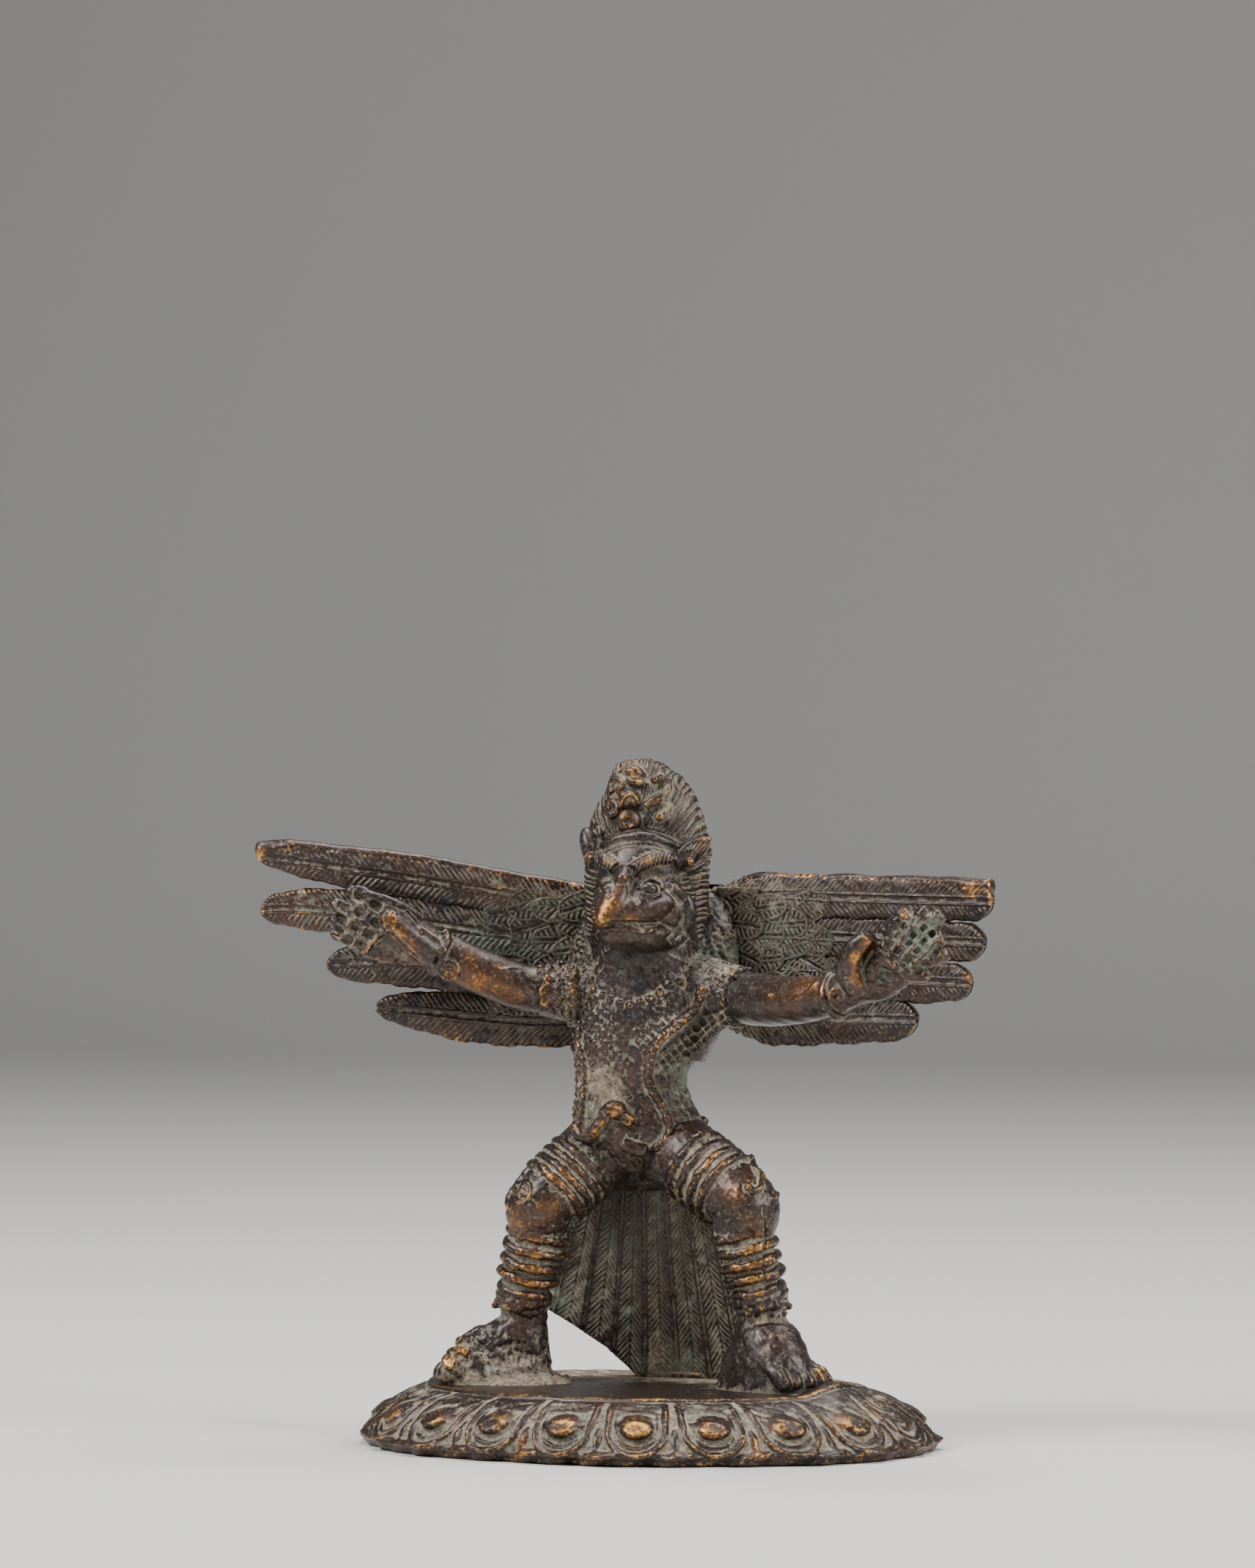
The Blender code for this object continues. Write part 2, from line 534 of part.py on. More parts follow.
def finish(mesh, name):
    """The mesh as an object of the scene."""
    bmesh.ops.recalc_face_normals(mesh, faces=mesh.faces)
    data = bpy.data.meshes.new(name)
    mesh.to_mesh(data)
    mesh.free()
    thing = bpy.data.objects.new(name, data)
    bpy.context.scene.collection.objects.link(thing)
    return thing


def settle(thing):
    """Replace an object's mesh by what its modifiers make of it."""
    graph = bpy.context.evaluated_depsgraph_get()
    data = bpy.data.meshes.new_from_object(thing.evaluated_get(graph))
    thing.modifiers.clear()
    thing.data = data


def fuse(thing):
    """Melt the overlapping forms into one skin and thin it to the wanted count of triangles."""
    remesh = thing.modifiers.new("one_skin", "REMESH")
    remesh.mode = "VOXEL"
    remesh.voxel_size = VOXEL
    settle(thing)
    relax = thing.modifiers.new("relax", "SMOOTH")
    relax.factor = 0.5
    relax.iterations = 1
    settle(thing)
    thin = thing.modifiers.new("thin", "DECIMATE")
    thin.ratio = TRIANGLES / (2.0 * len(thing.data.polygons))
    settle(thing)


def keep_largest_body(thing):
    mesh = bmesh.new()
    mesh.from_mesh(thing.data)
    waiting = set(mesh.verts)
    bodies = []
    while waiting:
        body = {waiting.pop()}
        border = list(body)
        while border:
            vertex = border.pop()
            for edge in vertex.link_edges:
                other = edge.other_vert(vertex)
                if other not in body:
                    body.add(other)
                    border.append(other)
        waiting -= body
        bodies.append(body)
    largest = max(bodies, key=len)
    spare = [vertex for vertex in mesh.verts if vertex not in largest]
    bmesh.ops.delete(mesh, geom=spare, context="VERTS")
    mesh.to_mesh(thing.data)
    mesh.free()


def cut(thing, cutter):
    boolean = thing.modifiers.new("cut", "BOOLEAN")
    boolean.operation = "DIFFERENCE"
    boolean.solver = "EXACT"
    boolean.object = cutter
    settle(thing)
    bpy.data.objects.remove(cutter)


def centre_on_ground(thing):
    corners = [Vector(corner) for corner in thing.bound_box]
    low = Vector(min(corner[axis] for corner in corners) for axis in range(3))
    high = Vector(max(corner[axis] for corner in corners) for axis in range(3))
    shift = Vector((-(low.x + high.x) / 2.0, -(low.y + high.y) / 2.0, -low.z))
    thing.data.transform(Matrix.Translation(shift))


def build():
    for thing in list(bpy.data.objects):
        bpy.data.objects.remove(thing)
    mesh = bmesh.new()
    for form in (lotus_base, legs, torso, strands, crest, face, diadem, necklace, arms, right_wing,
                 left_wing, shoulder_blades, tail):
        form(mesh)
    statue = finish(mesh, "garuda_statue")
    fuse(statue)
    keep_largest_body(statue)
    cut(statue, underside_cutter())
    cut(statue, ground_cutter())
    keep_largest_body(statue)
    centre_on_ground(statue)
    statue.data.materials.clear()
    statue.data.materials.append(bronze())
    statue.data.shade_smooth()
    statue.data.set_sharp_from_angle(angle=math.radians(40.0))
    parts = bpy.data.collections.new("garuda_statue_parts")
    bpy.context.scene.collection.children.link(parts)
    bpy.context.scene.collection.objects.unlink(statue)
    parts.objects.link(statue)


build()
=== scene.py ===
"""Looks of a small bronze garuda: a bird-headed figure with spread wings on a lotus base.

Everything is modelled in millimetres from the middle of the plate's top, facing -Y, and is
brought to its place in the frame in metres at the end. Places that are read off the photograph
are pixels of its 1725 by 2156 frame, and fall on the statue along the camera's sight.
"""

import json
import math

import bpy
import numpy as np
from mathutils import Matrix, Vector
from mathutils.bvhtree import BVHTree


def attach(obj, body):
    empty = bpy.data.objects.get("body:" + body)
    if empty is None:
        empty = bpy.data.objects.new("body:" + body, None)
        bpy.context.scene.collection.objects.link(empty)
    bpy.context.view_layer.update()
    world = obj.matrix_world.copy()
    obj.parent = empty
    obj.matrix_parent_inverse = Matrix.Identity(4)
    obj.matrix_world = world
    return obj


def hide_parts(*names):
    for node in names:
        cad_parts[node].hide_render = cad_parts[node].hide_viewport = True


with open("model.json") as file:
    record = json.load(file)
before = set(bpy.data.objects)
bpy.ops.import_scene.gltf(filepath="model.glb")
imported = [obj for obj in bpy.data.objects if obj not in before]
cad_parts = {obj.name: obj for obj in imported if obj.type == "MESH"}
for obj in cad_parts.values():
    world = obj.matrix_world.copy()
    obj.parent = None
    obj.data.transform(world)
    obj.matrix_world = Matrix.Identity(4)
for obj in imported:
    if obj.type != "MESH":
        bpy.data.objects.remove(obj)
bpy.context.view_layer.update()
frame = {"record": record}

# Sizes in millimetres
MM = 0.001
BASE_MIDDLE = frame["record"]["mounts"][0]["pos_m"][0] / MM
PLATE_HEIGHT = 9.4
PLATE_THICKNESS = 2.6
RIM_HALF = (45.4, 32.5)
PLATE_HALF = (35.0, 24.5)
RIM_WALL = 3.4
HOLLOW_INSET = 2.2
PETALS = 20
PETAL_TURN = 0.59
WING_THICKNESS = 2.1
TAIL_THICKNESS = 2.2

# How many triangles each piece may keep
TRIANGLES = {"head": 180000, "body": 160000, "right_arm": 75000, "left_arm": 75000, "legs": 150000,
             "right_wing": 95000, "left_wing": 95000, "tail": 60000, "lotus_base": 101000}

# The camera
CAMERA_TURN = math.radians(16.0)
DISTANCE = 1016.3
EYE_SIDESTEP = -3.05
EYE_HEIGHT = 102.7 - PLATE_HEIGHT
LENS = 150.0
SENSOR = 36.0
PHOTO = (1725.0, 2156.0)
FOCAL = LENS / SENSOR * PHOTO[1]

UP = Vector((0.0, 0.0, 1.0))
SIDE = Vector((math.cos(CAMERA_TURN), math.sin(CAMERA_TURN), 0.0))
TOWARD = Vector((math.sin(CAMERA_TURN), -math.cos(CAMERA_TURN), 0.0))
SIDEWAYS = Vector((1.0, 0.0, 0.0))
FORWARD = Vector((0.0, -1.0, 0.0))
EYE = TOWARD * DISTANCE + SIDE * EYE_SIDESTEP + UP * EYE_HEIGHT
PIXEL = DISTANCE / FOCAL


# Handling things
def choose(*things):
    """Only these things are selected, the first of them active."""
    bpy.ops.object.select_all(action="DESELECT")
    for thing in things:
        thing.select_set(True)
    bpy.context.view_layer.objects.active = things[0]


def apply_all(thing):
    choose(thing)
    for modifier in list(thing.modifiers):
        bpy.ops.object.modifier_apply(modifier=modifier.name)


def thin(piece, triangles):
    """Take triangles from the smoother stretches until the wanted count is left."""
    count = sum(len(face.vertices) - 2 for face in piece.data.polygons)
    if count > triangles:
        fewer = piece.modifiers.new("fewer", "DECIMATE")
        fewer.ratio = triangles / count
        apply_all(piece)


def read(mesh, kind="co"):
    values = np.empty(len(mesh.vertices) * 3)
    mesh.vertices.foreach_get(kind, values)
    return values.reshape(-1, 3)


def write(mesh, places):
    mesh.vertices.foreach_set("co", np.ascontiguousarray(places).ravel())
    mesh.update()


def hill(distance):
    """A smooth hill of height 1 at distance 0, level from distance 1 on."""
    near = np.clip(1.0 - np.asarray(distance) ** 2, 0.0, 1.0)
    return near * near


def ramp(value, low, high):
    share = np.clip((value - low) / (high - low), 0.0, 1.0)
    return share * share * (3.0 - 2.0 * share)


def ripple(places, size, seed):
    """Smooth unevenness of about a size, from -1 to 1 for the most part."""
    chance = np.random.default_rng(seed)
    total = np.zeros(len(places))
    for _ in range(12):
        way = chance.normal(size=3)
        way /= np.linalg.norm(way)
        turns = places @ way * (chance.uniform(0.7, 1.4) / size)
        total += np.sin(math.tau * (turns + chance.uniform(0.0, 1.0)))
    return total / 3.0


def smooth_path(points, steps=6):
    """Points on a smooth curve through a list of points."""
    points = [np.array(point, float) for point in points]
    last = len(points) - 1
    path = []
    for index in range(last):
        before = points[max(index - 1, 0)]
        start = points[index]
        end = points[index + 1]
        after = points[min(index + 2, last)]
        for step in range(steps):
            t = step / steps
            path.append(0.5 * (2.0 * start + (end - before) * t
                               + (2.0 * before - 5.0 * start + 4.0 * end - after) * t * t
                               + (3.0 * start - before - 3.0 * end + after) * t ** 3))
    path.append(points[last])
    return np.array(path)


# The photograph's frame
def sight(pixel):
    """The direction from the camera through a pixel."""
    across, down = pixel[0] - PHOTO[0] / 2.0, pixel[1] - PHOTO[1] / 2.0
    return (SIDE * across - UP * down - TOWARD * FOCAL).normalized()


def pixels_of(places):
    """Where places show in the photograph's frame."""
    reach = places - np.array(EYE)
    depth = -reach @ np.array(TOWARD)
    across = PHOTO[0] / 2.0 + FOCAL * (reach @ np.array(SIDE)) / depth
    down = PHOTO[1] / 2.0 - FOCAL * reach[:, 2] / depth
    return np.stack([across, down], axis=1)


def distance_to(points, path):
    """How far each point is from a line through places, and how far along the line it is."""
    nearest = np.full(len(points), 1e9)
    along = np.zeros(len(points))
    travelled = 0.0
    for start, end in zip(path, path[1:]):
        step = end - start
        length = max(float(np.linalg.norm(step)), 1e-9)
        share = np.clip((points - start) @ step / length ** 2, 0.0, 1.0)
        gap = np.linalg.norm(points - start - share[:, None] * step, axis=1)
        closer = gap < nearest
        nearest[closer] = gap[closer]
        along[closer] = travelled + share[closer] * length
        travelled += length
    return nearest, along


def within(points, outline, edge=6.0):
    """1 inside an outline, 0 outside it, softly over the edge's width."""
    outline = np.array(outline, float)
    inside = np.zeros(len(points), bool)
    for start, end in zip(outline, np.roll(outline, -1, axis=0)):
        crosses = (start[1] > points[:, 1]) != (end[1] > points[:, 1])
        slope = (end[0] - start[0]) / (end[1] - start[1] + 1e-9)
        inside ^= crosses & (points[:, 0] < start[0] + slope * (points[:, 1] - start[1]))
    gap, _ = distance_to(points, np.vstack([outline, outline[:1]]))
    return ramp(np.where(inside, gap, -gap), -edge / 2.0, edge / 2.0)


# Rough forms
def sheet(columns, rows, shape):
    """A grid whose points are moved to a shape's places, across and along it from 0 to 1."""
    bpy.ops.mesh.primitive_grid_add(x_subdivisions=columns, y_subdivisions=rows, size=1.0)
    form = bpy.context.object
    flat = read(form.data)
    write(form.data, shape(flat[:, 0] + 0.5, flat[:, 1] + 0.5))
    return form


def first_ball():
    bpy.ops.mesh.primitive_uv_sphere_add(segments=40, ring_count=26, radius=1.0)
    return bpy.context.object


def first_bead():
    bpy.ops.mesh.primitive_uv_sphere_add(segments=16, ring_count=10, radius=1.0)
    return bpy.context.object


def first_ring():
    bpy.ops.mesh.primitive_torus_add(major_segments=28, minor_segments=10, major_radius=1.0,
                                     minor_radius=0.30)
    return bpy.context.object


def copy_of(pattern, place):
    """A copy of a pattern, with its own mesh, moved to its place."""
    form = pattern.copy()
    form.data = pattern.data.copy()
    form.data.transform(place)
    bpy.context.scene.collection.objects.link(form)
    return form


def ball(centre, radii, direction=UP):
    """A rounded lump whose third radius lies along a direction."""
    turn = UP.rotation_difference(Vector(direction)).to_matrix().to_4x4()
    size = Matrix.Diagonal((*radii, 1.0))
    return copy_of(PATTERN_BALL, Matrix.Translation(Vector(centre)) @ turn @ size)


def bead(centre, radius):
    return copy_of(PATTERN_BEAD, Matrix.Translation(Vector(centre)) @ Matrix.Scale(radius, 4))


def ring(centre, direction, radius):
    turn = UP.rotation_difference(Vector(direction)).to_matrix().to_4x4()
    return copy_of(PATTERN_RING, Matrix.Translation(Vector(centre)) @ turn @ Matrix.Scale(radius, 4))


def roll(centres, wides, deeps, side, segments, closed=False):
    """A sheet rolled round a line of centres into a tube, its ends drawn to a point."""
    centres = np.asarray(centres)
    if closed:
        tangents = np.roll(centres, -1, axis=0) - np.roll(centres, 1, axis=0)
    else:
        tangents = np.gradient(centres, axis=0)
    tangents /= np.linalg.norm(tangents, axis=1)[:, None]
    side = np.array(side, float)
    if side.ndim == 1:
        side = np.tile(side, (len(centres), 1))
    across = side - tangents * (side * tangents).sum(1)[:, None]
    across /= np.linalg.norm(across, axis=1)[:, None]
    other = np.cross(tangents, across)
    order = np.arange(len(centres))
    swell = np.ones(len(centres))
    if closed:
        order = np.append(order, 0)
        swell = np.append(swell, 1.0)
    else:
        order = np.concatenate([[0], order, order[-1:]])
        swell = np.concatenate([[0.0], swell, [0.0]])

    def shape(around, along):
        row = np.rint(along * (len(order) - 1)).astype(int)
        at = order[row]
        angle = math.tau * around
        out = across[at] * (wides[at] * np.cos(angle))[:, None]
        out += other[at] * (deeps[at] * np.sin(angle))[:, None]
        return centres[at] + out * swell[row][:, None]

    return sheet(segments, len(order) - 1, shape)


def limb(stations, side=SIDEWAYS, segments=44, steps=14):
    """A tapering round form through stations of x, y, z, half width and half depth."""
    path = smooth_path(stations, steps)
    return roll(path[:, :3], path[:, 3], path[:, 4], side, segments)


def hoop(centre, axis, wide, deep, thick, side=SIDEWAYS, wave=0.0, turn=0.0):
    """A ring band round a limb, of the limb's own width and depth, a little wavy."""
    axis = Vector(axis).normalized()
    across = (Vector(side) - axis * Vector(side).dot(axis)).normalized()
    other = axis.cross(across)
    angles = np.arange(44) / 44.0 * math.tau
    centres = np.array(centre) + np.outer(np.cos(angles) * wide, across)
    centres += np.outer(np.sin(angles) * deep, other)
    centres += np.outer(wave * np.sin(3.0 * angles + turn), axis)
    thickness = thick * (1.0 + 0.10 * np.sin(5.0 * angles + turn))
    outward = centres - np.array(centre)
    return roll(centres, thickness, thickness, outward, 10, closed=True)


class Rough:
    """The rough forms of a piece, and where a pixel of the photograph falls on them."""

    def __init__(self, forms):
        self.forms = list(forms)
        places = []
        faces = []
        for form in self.forms:
            first = len(places)
            places.extend(tuple(place) for place in read(form.data))
            faces.extend(tuple(first + index for index in face.vertices) for face in form.data.polygons)
        self.skin = BVHTree.FromPolygons(places, faces)

    def on(self, pixel, lift=0.0):
        """The place under a pixel, raised from the skin, and the way the skin faces there."""
        spot, normal, _, _ = self.skin.ray_cast(EYE, sight(pixel))
        if spot is None:
            passing = EYE + sight(pixel) * DISTANCE
            spot, normal, _, _ = self.skin.find_nearest(passing)
        if normal.dot(TOWARD) < 0.0:
            normal = -normal
        return spot + normal * lift, normal

    def line(self, pixels, radius, lift=0.0, steps=6):
        """A raised cord along a line of pixels."""
        path = smooth_path(pixels, steps)
        places = [self.on(pixel, lift)[0] for pixel in path]
        radii = np.full(len(places), radius)
        self.forms.append(roll(np.array(places), radii, radii, FORWARD, 10))

    def beads(self, pixels, pitch, radius, lift=0.0, shift=0.0):
        """Beads at an even pitch along a line of pixels."""
        path = smooth_path(pixels, 24)
        places = np.array([self.on(pixel, lift)[0] for pixel in path])
        steps = np.linalg.norm(np.diff(places, axis=0), axis=1)
        travelled = np.concatenate([[0.0], np.cumsum(steps)])
        for wanted in np.arange(pitch * shift, travelled[-1], pitch):
            at = int(np.searchsorted(travelled, wanted))
            self.forms.append(bead(places[min(at, len(places) - 1)], radius))

    def bead(self, pixel, radius, lift=0.0):
        self.forms.append(bead(self.on(pixel, lift)[0], radius))

    def lump(self, pixel, radii, lift):
        """A rounded lump under a pixel, its third radius towards the camera."""
        self.forms.append(ball(self.on(pixel, lift)[0], radii, TOWARD))

    def ring(self, pixel, radius, lift=0.0, filled=0.0):
        """A raised ring, with a disc inside it where asked."""
        spot, normal = self.on(pixel, lift)
        normal = (normal + TOWARD * 1.5).normalized()
        self.forms.append(ring(spot, normal, radius))
        if filled:
            self.forms.append(ball(spot, (radius, radius, filled), normal))

    def melt(self, name, grain, smoothing=1):
        """All forms fused into one skin, as wax forms are before casting."""
        choose(*self.forms)
        bpy.ops.object.join()
        piece = bpy.context.object
        piece.name = name
        remesh = piece.modifiers.new("melt", "REMESH")
        remesh.mode = "VOXEL"
        remesh.voxel_size = grain
        smooth = piece.modifiers.new("smooth", "SMOOTH")
        smooth.factor = 0.5
        smooth.iterations = smoothing
        apply_all(piece)
        return piece


class Surface:
    """A piece's skin while it is carved: its places, where they show, and what lies on them."""

    def __init__(self, piece):
        self.piece = piece
        self.places = read(piece.data)
        self.normals = read(piece.data, "normal")
        self.pixels = pixels_of(self.places)
        self.facing = self.normals @ np.array(TOWARD)
        self.front = ramp(self.facing, 0.0, 0.25)
        self.rise = np.zeros(len(self.places))
        self.strand = np.zeros(len(self.places))
        self.strand_depth = np.zeros(len(self.places))
        self.gold = np.zeros(len(self.places))
        self.green = np.zeros(len(self.places))
        self.tan = np.zeros(len(self.places))
        # painted shade under parts and in hollows, and some darker tone of the metal; the finish goes towards
        # near-black by it
        self.shade_and_dark_tone = np.zeros(len(self.places))

    def near(self, pixels, reach):
        low = np.min(pixels, axis=0) - reach
        high = np.max(pixels, axis=0) + reach
        inside = np.all((self.pixels > low) & (self.pixels < high), axis=1) & (self.front > 0.0)
        return np.nonzero(inside)[0]

    def line(self, pixels, width, height, steps=6):
        """A raised line, or a cut one where the height is below zero, of a half width in mm."""
        path = smooth_path(pixels, steps)
        at = self.near(path, width / PIXEL)
        gap, _ = distance_to(self.pixels[at], path)
        self.rise[at] += height * hill(gap * PIXEL / width) * self.front[at]

    def dot(self, pixel, radius, height):
        pixel = np.array(pixel, float)
        at = self.near(pixel[None], radius / PIXEL)
        gap = np.linalg.norm(self.pixels[at] - pixel, axis=1)
        self.rise[at] += height * hill(gap * PIXEL / radius) * self.front[at]

    def comb(self, phase, mask, depth):
        """Cut parallel grooves where a phase passes each half turn."""
        groove = (0.5 - 0.5 * np.cos(math.tau * phase)) ** 3
        self.rise -= depth * groove * mask
        stronger = mask > self.strand_depth
        self.strand[stronger] = phase[stronger]
        self.strand_depth = np.maximum(self.strand_depth, mask)

    def lattice(self, outline, turn, pitch, height, squareness=1.0):
        """A raised or sunken dot in each cell of a slanting lattice, within an outline.

        Returns how much of a cell and how much of the line between cells each place is."""
        mask = within(self.pixels, outline, 12.0) * self.front
        cosine, sine = math.cos(turn), math.sin(turn)
        first = (self.pixels[:, 0] * cosine + self.pixels[:, 1] * sine) * PIXEL / pitch[0]
        second = (self.pixels[:, 1] * cosine - self.pixels[:, 0] * sine) * PIXEL / pitch[1]
        cell = np.abs(np.sin(math.pi * first)) ** squareness * np.abs(np.sin(math.pi * second)) ** squareness
        self.rise += height * mask * cell
        return mask * cell, mask * (1.0 - cell)

    def stain(self, kind, *patches):
        """Soft patches of a finish and of painted shade on the side towards the camera, each given by its
        pixel across and down, its radius in pixels and its amount."""
        values = getattr(self, kind)
        seen = ramp(self.facing, -0.4, 0.2)
        for across, down, radius, amount in patches:
            gap = np.linalg.norm(self.pixels - np.array((across, down), float), axis=1)
            values += amount * hill(gap / radius) * seen

    def press(self):
        """Move the skin by what was carved."""
        self.places = self.places + self.normals * self.rise[:, None]
        write(self.piece.data, self.places)
        self.normals = read(self.piece.data, "normal")
        return self


def neighbours(mesh):
    ends = np.empty(len(mesh.edges) * 2, int)
    mesh.edges.foreach_get("vertices", ends)
    return ends.reshape(-1, 2)


def smoothed(values, ends, count, rounds):
    """Values after a number of rounds of averaging with their neighbours."""
    degree = np.bincount(ends.ravel(), minlength=count)[:, None]
    for _ in range(rounds):
        total = np.stack([np.bincount(ends[:, 0], values[ends[:, 1], axis], count)
                          + np.bincount(ends[:, 1], values[ends[:, 0], axis], count)
                          for axis in range(values.shape[1])], axis=1)
        values = 0.4 * values + 0.6 * total / np.maximum(degree, 1)
    return values


def measure_relief(surface):
    """How far each place stands over its surroundings, near by and further off."""
    mesh = surface.piece.data
    ends = neighbours(mesh)
    count = len(mesh.vertices)
    start = surface.places
    near = smoothed(start, ends, count, 6)
    wide = smoothed(near, ends, count, 30)
    fine = ((start - near) * surface.normals).sum(1)
    broad = ((near - wide) * surface.normals).sum(1)
    fine = smoothed(fine[:, None], ends, count, 1)[:, 0]
    ridge = np.clip(fine / 0.07, -1.0, 1.0) * 0.55 + np.clip(broad / 0.22, -1.0, 1.0) * 0.6
    surface.ridge = ridge
    surface.tan += 0.45 * np.clip(-ridge * 1.6, 0.0, 1.0) * ramp(surface.normals[:, 2], -0.1, 0.6)


def measure_shelter(surfaces):
    """How closely other parts of the statue stand round each place."""
    cell = 0.9
    everything = np.vstack([surface.places for surface in surfaces])
    low = everything.min(0) - 8.0
    shape = np.ceil((everything.max(0) + 8.0 - low) / cell).astype(int)
    filled = np.zeros(shape)
    index = ((everything - low) / cell).astype(int)
    filled[index[:, 0], index[:, 1], index[:, 2]] = 1.0
    for axis in range(3):
        for _ in range(2):
            summed = np.cumsum(filled, axis=axis)
            filled = (np.roll(summed, -2, axis) - np.roll(summed, 3, axis)) / 5.0
    for surface in surfaces:
        out = surface.places + surface.normals * 2.6
        index = ((out - low) / cell).astype(int)
        index = np.clip(index, 0, shape - 1)
        surface.shelter = np.clip(filled[index[:, 0], index[:, 1], index[:, 2]] * 5.5 - 0.55, 0.0, 1.0)


PATTERN_BALL = first_ball()
PATTERN_BEAD = first_bead()
PATTERN_RING = first_ring()


# The head
HEAD_SCROLLS = (
    [(888, 1110), (900, 1100), (913, 1093), (917, 1081), (908, 1070), (900, 1075)],
    [(897, 1100), (910, 1104), (917, 1114), (906, 1124)],
    [(842, 1092), (841, 1079), (848, 1072), (856, 1078), (853, 1087)],
    [(838, 1114), (841, 1104), (849, 1106), (850, 1116), (843, 1121)])


def head():
    crest = limb([(-0.4, 2.8, 65.0, 8.6, 4.2), (-0.8, 3.0, 70.6, 9.6, 5.4), (-0.9, 3.0, 77.0, 10.0, 6.2),
                  (-0.8, 3.0, 84.0, 10.0, 6.6), (-0.9, 2.8, 88.8, 8.7, 6.2), (-1.3, 2.6, 91.8, 7.4, 5.4),
                  (-1.8, 2.4, 93.9, 5.6, 4.6), (-2.2, 2.0, 95.9, 4.0, 3.2), (-2.3, 1.8, 97.0, 2.5, 1.8)],
                 segments=72)
    forms = [
        crest,
        ball((-0.6, -1.6, 78.6), (7.2, 6.8, 8.0)),
        limb([(1.6, -1.0, 76.2, 6.8, 5.0), (1.3, -4.8, 75.6, 6.4, 4.3), (0.1, -8.2, 74.7, 5.0, 3.3),
              (-1.8, -11.0, 73.6, 3.1, 2.1), (-3.1, -12.8, 72.8, 1.7, 1.4), (-3.7, -13.7, 72.0, 0.8, 0.8)]),
        limb([(1.4, -1.0, 69.8, 6.6, 3.5), (0.6, -5.6, 69.9, 5.6, 3.0), (-0.8, -8.9, 70.1, 4.2, 2.6),
              (-2.3, -10.9, 70.5, 2.6, 1.9), (-3.0, -12.0, 70.9, 1.3, 1.1)]),
        limb([(-1.0, -7.6, 80.2, 1.3, 1.3), (-1.3, -9.6, 77.4, 2.1, 2.0), (-2.0, -11.3, 75.0, 2.4, 2.1),
              (-3.0, -12.7, 73.2, 1.8, 1.6), (-3.7, -13.7, 72.0, 0.8, 0.8)]),
        ball((5.2, -4.4, 73.6), (3.5, 3.6, 3.5)),
        ball((-4.6, -5.4, 73.6), (2.8, 3.6, 3.4)),
        ball((7.9, -3.0, 82.6), (1.6, 2.2, 3.5), (0.75, 0.1, 0.6)),
        ball((-8.4, -2.6, 83.4), (1.5, 2.0, 3.4), (-0.3, 0.2, 0.9)),
    ]
    rough = Rough(forms)
    # The diadem's band and the stacked ornaments over it
    rough.line([(829, 1165), (849, 1155), (870, 1151), (895, 1152), (915, 1158), (932, 1167)], 0.95, 0.0)
    for pixel, wide, tall, lift in (((867, 1130), 1.95, 2.0, 0.7), ((867, 1099), 1.85, 1.5, 0.5),
                                    ((875, 1077), 1.6, 1.0, 0.35), ((874, 1065), 1.7, 1.15, 0.5)):
        rough.lump(pixel, (wide, tall, 1.25), lift)
    for path, lift in zip(HEAD_SCROLLS, (0.55, 0.55, 0.15, 0.25)):
        rough.line(path, 0.68, lift - 0.1)
        rough.bead(path[-1], 0.70, lift + 0.2)
    # Ears, brows, knob, eyes and the folds of the cheeks
    rough.line([(931, 1190), (934, 1176), (943, 1164), (958, 1157), (979, 1154)], 0.48, 0.05)
    rough.line([(931, 1190), (944, 1197), (962, 1190), (975, 1176), (980, 1160)], 0.46, 0.0)
    rough.line([(950, 1180), (955, 1173), (951, 1167), (944, 1170)], 0.34, 0.1)
    rough.bead((948, 1184), 0.70, 0.30)
    rough.line([(822, 1137), (828, 1150), (826, 1172), (823, 1190)], 0.45, 0.20)
    rough.ring((812, 1179), 0.80, 0.40, 0.4)
    rough.line([(868, 1198), (884, 1188), (903, 1180), (920, 1178)], 1.15, 0.15)
    rough.line([(830, 1181), (838, 1186), (846, 1194)], 1.10, 0.10)
    rough.bead((855, 1209), 0.95, 0.10)
    rough.lump((893, 1224), (1.30, 0.95, 0.95), 0.35)
    rough.lump((833, 1222), (0.85, 0.85, 0.8), -0.2)
    rough.line([(878, 1226), (883, 1216), (893, 1212), (905, 1215), (912, 1225)], 0.50, 0.45)
    rough.line([(880, 1229), (893, 1235), (908, 1230)], 0.34, 0.15)
    rough.line([(827, 1222), (831, 1215), (839, 1215)], 0.36, 0.05)
    rough.line([(925, 1222), (942, 1236), (948, 1257), (940, 1281), (922, 1296)], 1.10, -0.05)
    rough.line([(832, 1272), (848, 1270), (868, 1273), (888, 1277), (902, 1275)], 1.00, -0.75)
    # Stray tips of the crest
    for pixel in ((913, 1056), (894, 1047), (866, 1044), (967, 1122), (930, 1080), (949, 1094), (840, 1056),
                  (979, 1150), (980, 1258)):
        rough.bead(pixel, 0.60, -0.15)
    piece = rough.melt("head", 0.155, 4)

